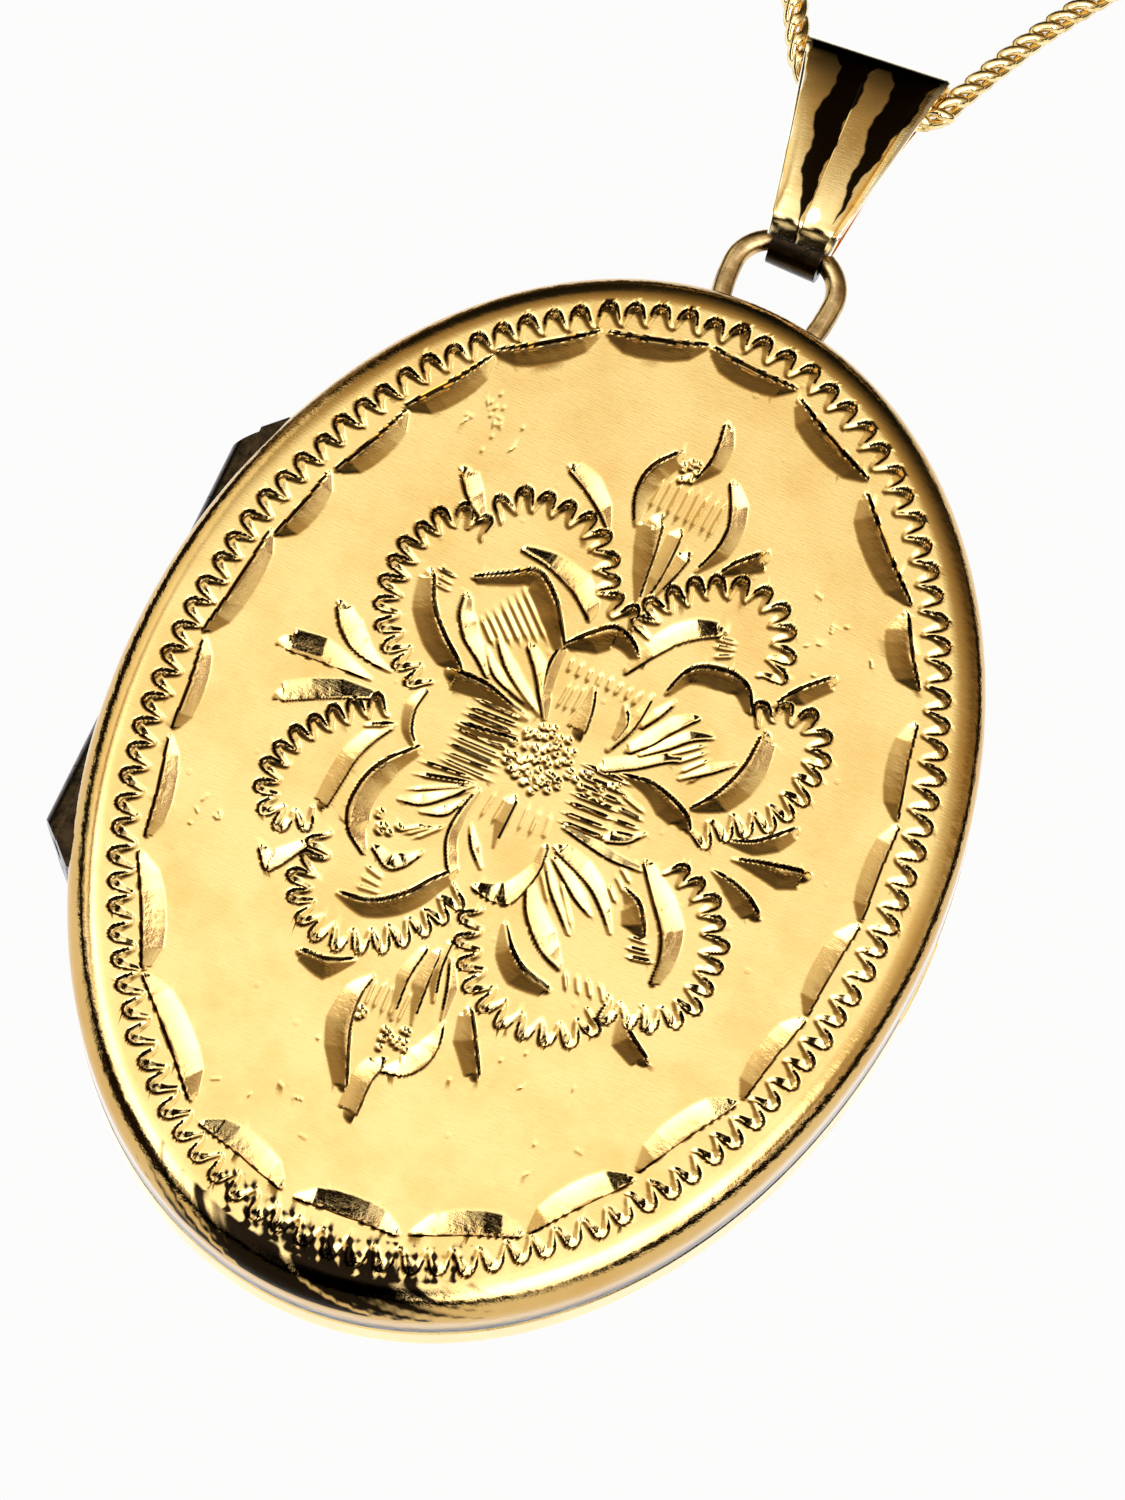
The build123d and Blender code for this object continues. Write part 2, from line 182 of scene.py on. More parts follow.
def metal(name, bright, dark, rough, scratch, dents, patch, face_y=None, toned=False):
    """Worn metal: colour patches, fine scratches and small pits.

    Cuts behind face_y are darkened brown, more the deeper they go, and chattered. A toned piece gets black
    painted shade or a pale painted highlight where its tone says so.
    """
    material, n, place = new_material(name)
    patches = n.noise(place, patch, 4.0, 0.6)
    colour = n.mix(n.smooth(patches, 0.35, 0.75), bright, dark)

    def streaks(rotation, stretch, scale):
        inputs = {"Vector": place, "Rotation": rotation, "Scale": (1.0, 1.0, stretch)}
        return n.noise(n.add("ShaderNodeMapping", inputs).outputs[0], scale, 3.0, 0.7)

    lines = n.math("MULTIPLY", streaks((0.3, 0.5, 0.4), 14.0, 2600.0), streaks((1.1, -0.4, 2.2), 11.0, 1900.0))
    pits = n.add("ShaderNodeTexVoronoi", {"Vector": place, "Scale": 620.0, "Randomness": 1.0})
    pit = n.smooth(pits.outputs["Distance"], 0.03, 0.1)
    broad = n.noise(place, 160.0, 2.0, 0.5)
    roughness = n.math("MULTIPLY_ADD", n.smooth(patches, 0.3, 0.8), rough * 0.7, rough * 0.7)
    # Brown laid into the cuts, stronger the deeper they go.
    if face_y is not None:
        depth = n.add("ShaderNodeSeparateXYZ", {"Vector": place}).outputs["Y"]
        below = n.smooth(depth, face_y + 0.02 * MM, face_y + DEEPEST * MM)
        colour = n.mix(n.math("MULTIPLY", below, 0.55), colour, CUT_BROWN)
    if toned:
        tone = n.add("ShaderNodeAttribute", attribute_name="tone").outputs["Fac"]
        # Black painted shade and painted dark reflections where the tone is low.
        colour = n.mix(n.smooth(tone, -0.15, -0.85), colour, PAINTED_SHADE)
        # Pale painted highlight where the tone is high: in noise patches, or all over where the tone is 2.
        highlight_patches = n.smooth(n.noise(place, 1700.0, 3.0, 0.6), 0.42, 0.6)
        highlight_patches = n.math("MAXIMUM", highlight_patches, n.smooth(tone, 1.2, 1.8))
        colour = n.mix(n.math("MULTIPLY", n.smooth(tone, 0.15, 0.85), highlight_patches), colour, PAINTED_HIGHLIGHT)
    height = n.math("MULTIPLY_ADD", lines, scratch, n.math("MULTIPLY", pit, 0.25))
    height = n.math("MULTIPLY_ADD", broad, dents, height)
    if face_y is not None:
        chatter = n.math("MULTIPLY", n.noise(place, 2000.0, 3.0, 0.6), below)
        height = n.math("MULTIPLY_ADD", chatter, 2.2, height)
    bump = n.add("ShaderNodeBump", {"Height": height, "Strength": 0.25, "Distance": 0.00006})
    shader = n.add("ShaderNodeBsdfPrincipled", {"Base Color": colour, "Metallic": 1.0,
                                                "Roughness": roughness, "Normal": bump.outputs[0]})
    finish_material(n, shader)
    return material


FACE_Y = (SEAM_Y - COVER_DEPTH) * MM
GOLD = metal("worn_gold", (0.95, 0.69, 0.28), (0.88, 0.61, 0.22), 0.11, 0.5, 0.35, 350.0)
# The engraved face and the bail carry painted shade and painted highlights by their tone.
FACE_GOLD = metal("engraved_gold", (0.97, 0.69, 0.26), (0.88, 0.57, 0.18), 0.085, 0.3, 0.4, 330.0, FACE_Y, True)
LOOP_GOLD = metal("satin_gold", (0.66, 0.46, 0.20), (0.34, 0.21, 0.08), 0.2, 0.8, 0.4, 1500.0)
BAIL_GOLD = metal("polished_gold", (0.95, 0.70, 0.30), (0.85, 0.57, 0.20), 0.1, 0.35, 0.4, 700.0, toned=True)
# Near-black gold for the hinge and the bail foot: painted shade and painted dark reflections in place of lit
# gold.
DARK_GOLD = metal("painted_shade_gold", (0.055, 0.035, 0.016), (0.008, 0.006, 0.004), 0.25, 0.8, 0.8, 2600.0)
CHAIN_GOLD = metal("chain_gold", (0.97, 0.76, 0.36), (0.70, 0.46, 0.15), 0.16, 0.3, 0.3, 2500.0)
STEEL = metal("steel", (0.62, 0.61, 0.60), (0.42, 0.41, 0.40), 0.25, 0.4, 0.3, 2500.0)


def clear_window(name):
    material, n, place = new_material(name)
    scuffs = n.smooth(n.noise(place, 900.0, 5.0, 0.7), 0.55, 0.8, 0.03, 0.16)
    shader = n.add("ShaderNodeBsdfPrincipled", {"Base Color": (1.0, 0.99, 0.96, 1.0), "Roughness": scuffs,
                                                "IOR": 1.49, "Alpha": 0.08})
    finish_material(n, shader)
    return material


def aged_card(name):
    material, n, place = new_material(name)
    stains = n.noise(place, 180.0, 4.0, 0.6)
    fibre = n.noise(place, 5200.0, 3.0, 0.7)
    colour = n.mix(n.smooth(stains, 0.35, 0.75), (0.84, 0.78, 0.64), (0.70, 0.60, 0.42))
    colour = n.mix(n.math("MULTIPLY", fibre, 0.25), colour, (0.60, 0.52, 0.38))
    bump = n.add("ShaderNodeBump", {"Height": fibre, "Strength": 0.4, "Distance": 0.00004})
    shader = n.add("ShaderNodeBsdfPrincipled", {"Base Color": colour, "Roughness": 0.85,
                                                "Normal": bump.outputs[0]})
    finish_material(n, shader)
    return material


WINDOW = clear_window("clear_window")
CARD = aged_card("aged_card")


# ------------------------ chain

def strand_route():
    """The chain's own smooth line through the bail: a NURBS spline drawn to its control points."""
    points = ((-8.736, 11.145), (-3.4, 0.75), (-2.2, -0.5), (2.3, -0.2), (3.0, 1.75), (5.35, 6.6),
              (8.736, 11.145))
    data = bpy.data.curves.new("chain_route", "CURVE")
    data.dimensions = "3D"
    spline = data.splines.new("NURBS")
    spline.points.add(len(points) - 1)
    for point, (x, z) in zip(spline.points, points):
        point.co = (x * MM, 0.0, z * MM, 1.0)
    spline.order_u = 3
    spline.use_endpoint_u = True
    spline.resolution_u = 32
    route = bpy.data.objects.new("chain_route", data)
    line = bpy.data.meshes.new_from_object(route)
    places = [vertex.co.copy() for vertex in line.vertices]
    bpy.data.objects.remove(route)
    bpy.data.meshes.remove(line)
    return places


class Path:
    """A polyline that can be read by distance along it."""

    def __init__(self, places):
        self.places = np.array([tuple(place) for place in places])
        steps = np.linalg.norm(np.diff(self.places, axis=0), axis=1)
        self.distance = np.concatenate([[0.0], np.cumsum(steps)])
        self.length = self.distance[-1]

    def at(self, distance):
        return np.array([np.interp(distance, self.distance, self.places[:, axis]) for axis in range(3)])

    def along(self, distance, reach=0.2 * MM):
        """Direction of the line at a distance, taken between two places that far to either side."""
        step = self.at(min(distance + reach, self.length)) - self.at(max(distance - reach, 0.0))
        return step / np.linalg.norm(step)


def closed_tube(points, radius, sides):
    """Tube round a closed line of points, in the same unit; its last twist is spread over the whole turn."""
    points = np.asarray(points, dtype=float)
    count = len(points)
    tangents = np.roll(points, -1, axis=0) - np.roll(points, 1, axis=0)
    tangents /= np.linalg.norm(tangents, axis=1)[:, None]
    side = np.cross(tangents[0], (0.31, 0.87, 0.39))
    carried = []
    for tangent in [*tangents, tangents[0]]:
        side = side - tangent * np.dot(side, tangent)
        side /= np.linalg.norm(side)
        carried.append(side)
    twist = math.atan2(np.dot(side, np.cross(tangents[0], carried[0])), np.dot(side, carried[0]))
    verts = []
    for index, (point, tangent, out) in enumerate(zip(points, tangents, carried)):
        other = np.cross(tangent, out)
        for step in range(sides):
            angle = 2 * math.pi * step / sides - twist * index / count
            verts.append(point + radius * (math.cos(angle) * out + math.sin(angle) * other))
    rings = np.arange(len(verts)).reshape(count, sides).tolist()
    return verts, bands(rings + rings[:1])


def link_loop(half_length, half_width, twist):
    """Centre line of one curb link: a flattened loop whose ends are turned against each other."""
    loop = []
    for angle in np.linspace(0.0, 2 * math.pi, 26, endpoint=False):
        cos, sin = math.cos(angle), math.sin(angle)
        along = half_length * math.copysign(abs(cos) ** 0.8, cos)
        across = half_width * math.copysign(abs(sin) ** 0.8, sin)
        turn = twist * along / half_length
        loop.append((along, across * math.cos(turn), across * math.sin(turn)))
    return loop


STRAND_ROLL = ((0.4, 0.6), (0.0, 48.0))     # share of the route, and how far the links are turned about it


def build_chain():
    route = strand_route()
    path = Path(route)
    pitch, wire_radius = 0.74 * MM, 0.2 * MM
    half_length, half_width, twist, skew = 0.56 * MM, 0.235 * MM, math.radians(55), math.radians(20)
    count = int(round(path.length / pitch)) - 1
    pitch = (path.length - 2 * half_length) / (count - 1)
    verts, faces = [], []
    for index in range(count):
        centre = half_length + index * pitch
        middle, forward = path.at(centre), path.along(centre)
        roll = math.radians(np.interp(centre / path.length, *STRAND_ROLL))
        side = np.cross((0.0, math.cos(roll), 0.0), forward) + np.array((0.0, math.sin(roll), 0.0))
        side /= np.linalg.norm(side)
        front = np.cross(forward, side)
        along = math.cos(skew) * forward + math.sin(skew) * side
        across = math.cos(skew) * side - math.sin(skew) * forward
        loop = [middle + x * along + y * across + z * front
                for x, y, z in link_loop(half_length, half_width, twist)]
        ring, quads = closed_tube(loop, wire_radius, sides=8)
        first = len(verts)
        verts += ring
        faces += [tuple(first + corner for corner in quad) for quad in quads]
    chain = mesh_object("curb_chain", np.array(verts) / MM, faces, CHAIN_GOLD, smooth_angle=60.0)
    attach(chain, "chain")
    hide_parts("chain")


build_chain()


# ------------------------ engraving

STEEP_WALL = 0.1        # run-out of the steep side of a cut
EDGE_HIGHLIGHT_WIDTH = 0.07             # width of the painted highlight strip along it
TOOTH_SLANT = 0.1
# One tooth of a wriggle cut: place along its pitch, place across as a share of its height, and facet width
TOOTH = ((0.0, -0.5, 0.12), (0.1, -0.1, 0.16), (0.18, 0.3, 0.34), (0.38, 0.5, 0.46), (0.62, 0.38, 0.4),
         (0.74, 0.0, 0.22), (0.84, -0.35, 0.14), (1.0, -0.5, 0.12))
rng = np.random.default_rng(11)


def smooth_line(points, steps=6):
    """Catmull-Rom curve through given points; every column is carried along."""
    points = np.asarray(points, dtype=float)
    if len(points) < 3:
        return np.linspace(points[0], points[-1], 2 * steps + 1)
    padded = np.vstack([2 * points[0] - points[1], points, 2 * points[-1] - points[-2]])
    line = []
    for index in range(1, len(padded) - 2):
        p0, p1, p2, p3 = padded[index - 1:index + 3]
        for t in np.arange(steps) / steps:
            line.append(0.5 * (2 * p1 + (p2 - p0) * t + (2 * p0 - 5 * p1 + 4 * p2 - p3) * t * t
                               + (3 * p1 - p0 - 3 * p2 + p3) * t ** 3))
    line.append(padded[-2])
    return np.array(line)


class Relief:
    """Depth of the engraving at each point of a plane grid."""

    def __init__(self, u, v):
        self.u, self.v = u, v
        self.depth = np.zeros_like(u)
        self.tone = np.zeros_like(u)

    def near(self, line, reach):
        """Grid places inside the line's box, grown by the reach on every side."""
        low, high = line[:, :2].min(0) - reach, line[:, :2].max(0) + reach
        inside = (self.u > low[0]) & (self.u < high[0]) & (self.v > low[1]) & (self.v < high[1])
        return np.nonzero(inside)

    def measure(self, where, line):
        """Distance, signed side distance and place along the line of each nearby point."""
        p = np.stack([self.u[where], self.v[where]], axis=1)
        a, b = line[:-1, :2], line[1:, :2]
        run = b - a
        length = np.maximum(np.linalg.norm(run, axis=1), 1e-9)
        rel = p[:, None, :] - a[None]
        t = np.clip((rel * run).sum(2) / length ** 2, 0.0, 1.0)
        off = rel - t[..., None] * run
        distance = np.linalg.norm(off, axis=2)
        best = distance.argmin(axis=1)
        rows = np.arange(len(p))
        cross = run[best, 0] * rel[rows, best, 1] - run[best, 1] * rel[rows, best, 0]
        side = np.where(cross >= 0, 1.0, -1.0) * distance[rows, best]
        return distance[rows, best], side, best + t[rows, best]

    def sink(self, where, depth):
        self.depth[where] = np.maximum(self.depth[where], np.minimum(depth, DEEPEST))

    def facet(self, points, widths, side, slope=0.34):
        """Bright cut: a deep line with a steep wall on one side, painted black as shade where the cut is wide
        and edged by a strip of painted highlight, and a broad facet on the other.
        """
        keys = np.linspace(0.0, 1.0, len(widths))
        line = smooth_line(points)
        at = np.linspace(0.0, 1.0, len(line))
        width = np.interp(at, keys, widths)
        where = self.near(line, max(widths) + 0.1)
        distance, offset, place = self.measure(where, line)
        offset = offset * side
        reach = np.interp(place, np.arange(len(line)), width)
        past_end = (place <= 0.0) | (place >= len(line) - 1)
        facet = slope * (reach - np.maximum(offset, 0.0))
        wall = slope * reach * (1.0 + offset / STEEP_WALL)
        depth = np.where(offset >= 0, facet, wall)
        rounded = slope * (reach - 1.6 * distance)
        depth = np.where(past_end, np.minimum(depth, rounded), depth)
        before, tone = self.depth[where], self.tone[where]
        # A strip of painted highlight on the uncut face beside the steep wall, and black painted shade in the
        # steep wall of a wide cut.
        edge_highlight = (before <= 0) & (depth <= 0) & ~past_end & (offset > -STEEP_WALL - EDGE_HIGHLIGHT_WIDTH) & (offset < 0)
        tone = np.where(edge_highlight, 1.0, tone)
        walled = (offset < 0.0) & (reach > 0.18)
        self.tone[where] = np.where(depth > before, np.where(walled, -1.0, 0.0), tone)
        self.sink(where, depth)

    def groove(self, points, width, depth):
        """Narrow pointed line cut."""
        line = smooth_line(points, 4)
        where = self.near(line, width)
        distance, _, place = self.measure(where, line)
        along = place / (len(line) - 1)
        taper = np.clip(np.minimum(along, 1.0 - along) * 5.0, 0.15, 1.0)
        share = np.clip(distance / (0.56 * width * np.maximum(taper, 0.5)), 0.0, 1.0)
        self.sink(where, depth * taper * (0.5 + 0.5 * np.cos(math.pi * share)))

    def wriggle(self, centre_line, pitch, height, outward):
        """Rocked flat graver: a row of joined teeth across a centre line."""
        line = smooth_line(centre_line, 8)
        path = Path(np.column_stack([line, np.zeros(len(line))]))
        count = max(2, int(round(path.length / pitch)))
        pitch = path.length / count
        for index in range(count):
            shift = rng.uniform(-0.05, 0.05, 2)
            tall = height * rng.uniform(0.9, 1.06)
            points = []
            for along, across, _ in TOOTH:
                distance = np.clip((index + along + shift[0]) * pitch, 0.0, path.length)
                middle, forward = path.at(distance)[:2], path.along(distance, 0.05)[:2]
                out = np.array([-forward[1], forward[0]]) * outward
                points.append(middle + out * across * tall + forward * TOOTH_SLANT * across + out * shift[1])
            widths = np.array(TOOTH)[:, 2] * rng.uniform(0.9, 1.1)
            self.facet(points, widths, -outward, 0.48)

    def pits(self, centre, radius, count, size=0.16, depth=0.12):
        """Round pits at random places in a circle."""
        for _ in range(count):
            turn, reach = rng.uniform(0, 2 * math.pi), radius * math.sqrt(rng.uniform(0, 1))
            u, v = centre[0] + reach * math.cos(turn), centre[1] + reach * math.sin(turn)
            where = self.near(np.array([[u, v]]), size)
            distance = np.hypot(self.u[where] - u, self.v[where] - v)
            self.sink(where, depth * (1.0 - distance / size))

    def scratches(self, centre, radius, count):
        """Short shallow grooves at random places in a circle, closer together towards its middle."""
        for _ in range(count):
            turn, reach, lie = rng.uniform(0, 2 * math.pi, 3)
            out = radius * reach / 6.3
            u, v = centre[0] + out * math.cos(turn), centre[1] + out * math.sin(turn)
            run = rng.uniform(0.15, 0.5) * np.array([math.cos(lie), math.sin(lie)])
            self.groove([(u, v), (u + run[0], v + run[1])], 0.09, 0.03)

    def paint_dark_low_edge(self):
        """Mottled painted dark reflection, black over the lowest border teeth."""
        share = np.hypot(self.u / HALF_WIDTH, self.v / HALF_HEIGHT)
        turn = np.degrees(np.arctan2(self.v / HALF_HEIGHT, self.u / HALF_WIDTH)) + 86.0
        near = np.clip(1.0 - np.abs(turn) / 20.0, 0.0, 1.0) * np.clip((share - 0.87) / 0.06, 0.0, 1.0)
        mottle = (np.sin(8.1 * self.u + 2.7 * self.v) + np.sin(12.7 * self.v - 5.3 * self.u)
                  + np.sin(17.3 * self.u + 9.1 * self.v))
        self.tone = np.minimum(self.tone, -np.clip(1.5 * near + 0.42 * mottle * (near > 0), 0.0, 1.0))


L, R = 1, -1     # the left or right side of a cut's line that its facet is on, looking along the line

CHIP_SAG, CHIP_SLOPE = 0.06, 0.3
CHIP_WIDTHS = (0.4, 0.9, 1.0, 1.0, 0.95, 0.8, 0.25)

# Border chips: the two ends of each outer chord, clockwise from the top, and the facet's width
BORDER_CHIPS = (
    (-0.8, 17.5, 2.4, 17.35, 0.75), (2.8, 17.0, 6.1, 15.35, 0.8), (6.4, 14.75, 9.4, 11.75, 0.85),
    (9.5, 11.3, 10.95, 9.0, 0.9), (11.45, 7.7, 12.25, 4.3, 0.7), (12.4, 4.0, 12.65, 0.4, 0.6),
    (12.65, 0.1, 12.35, -3.5, 0.7), (12.35, -3.8, 11.6, -7.2, 0.7), (11.4, -7.6, 9.4, -11.1, 0.85),
    (9.3, -11.6, 6.9, -14.7, 0.85), (6.6, -15.0, 3.2, -16.5, 0.85), (2.7, -16.75, -1.0, -17.0, 0.75),
    (-1.7, -16.9, -5.1, -16.0, 0.85), (-5.9, -15.3, -9.2, -12.0, 0.9), (-9.4, -11.7, -11.3, -8.0, 0.85),
    (-11.35, -7.3, -12.15, -3.7, 0.6), (-12.2, -3.3, -12.6, 0.1, 0.6), (-12.75, 0.4, -12.2, 4.7, 0.7),
    (-12.0, 4.7, -11.25, 7.5, 0.7), (-11.05, 7.8, -9.75, 10.75, 0.75), (-9.8, 11.0, -7.85, 13.9, 0.8),
    (-7.8, 14.2, -4.8, 16.35, 0.8), (-4.4, 16.5, -1.1, 17.5, 0.75),
)

RING_INSET, RING_SHIFT, RING_PITCH = 1.83, (0.07, 0.12), 0.95      # wriggle-cut ring inside the border
LOBE_PITCH, TOOTH_HEIGHT = 0.76, 0.85

# Wriggle-cut lobes round the flower: centre line of the teeth, as u, v, u, v and so on
LOBES = (
    (-4.9, 1.7, -5.8, 2.3, -6.7, 3, -7.3, 3.9, -7.5, 4.9, -7.5, 5.9, -7.3, 6.8, -6.8, 7.7, -6, 8.1, -5.1, 7.9),
    (-5.3, 8.7, -4.8, 9.4, -4, 9.7, -3, 9.75, -2.1, 9.6, -1.4, 9.2, -0.9, 8.5, -0.5, 7.7, 0.2, 7.2, 1, 7.1),
    (1.2, 6.7, 1.3, 7.8, 2, 8.7, 2.8, 9.3, 3.7, 9.7, 4.6, 9.7, 5.4, 9.3, 6, 8.5, 6.15, 7.7, 6.1, 6.9),
    (6.2, 5.6, 6.6, 6, 7.4, 6.25, 8.2, 6.1, 8.75, 5.4, 8.85, 4.6, 8.7, 3.7, 8.4, 2.8, 7.9, 2.1, 7.2, 1.6, 6.6,
     1.1, 6.1, 0.5),
    (5.8, -0.6, 6.6, -0.85, 7.4, -1.2, 8, -1.9, 8.4, -2.7, 8.6, -3.6, 8.55, -4.5, 8.3, -5.3, 7.7, -5.9, 6.9,
     -6.15, 6.2, -6.4, 5.6, -6.3),
    (5.7, -6.7, 5.5, -7.3, 4.8, -7.85, 3.9, -8.05, 3, -8.05, 2.1, -7.8, 1.3, -7.2, 0.7, -6.4, 0.4, -5.7, 0.1,
     -4.9),
    (-0.5, -4.6, -0.8, -5.4, -1.2, -6.2, -1.8, -6.9, -2.5, -7.5, -3.4, -7.85, -4.3, -7.9, -5, -7.6, -5.6, -7,
     -5.8, -6.2, -5.6, -5.4, -5.9, -4.6),
    (-6.3, -4.3, -7, -4.75, -7.8, -4.6, -8.3, -4, -8.4, -3.1, -8.2, -2.2, -7.8, -1.4, -7.2, -0.6, -6.5, 0.1,
     -5.7, 0.6),
)

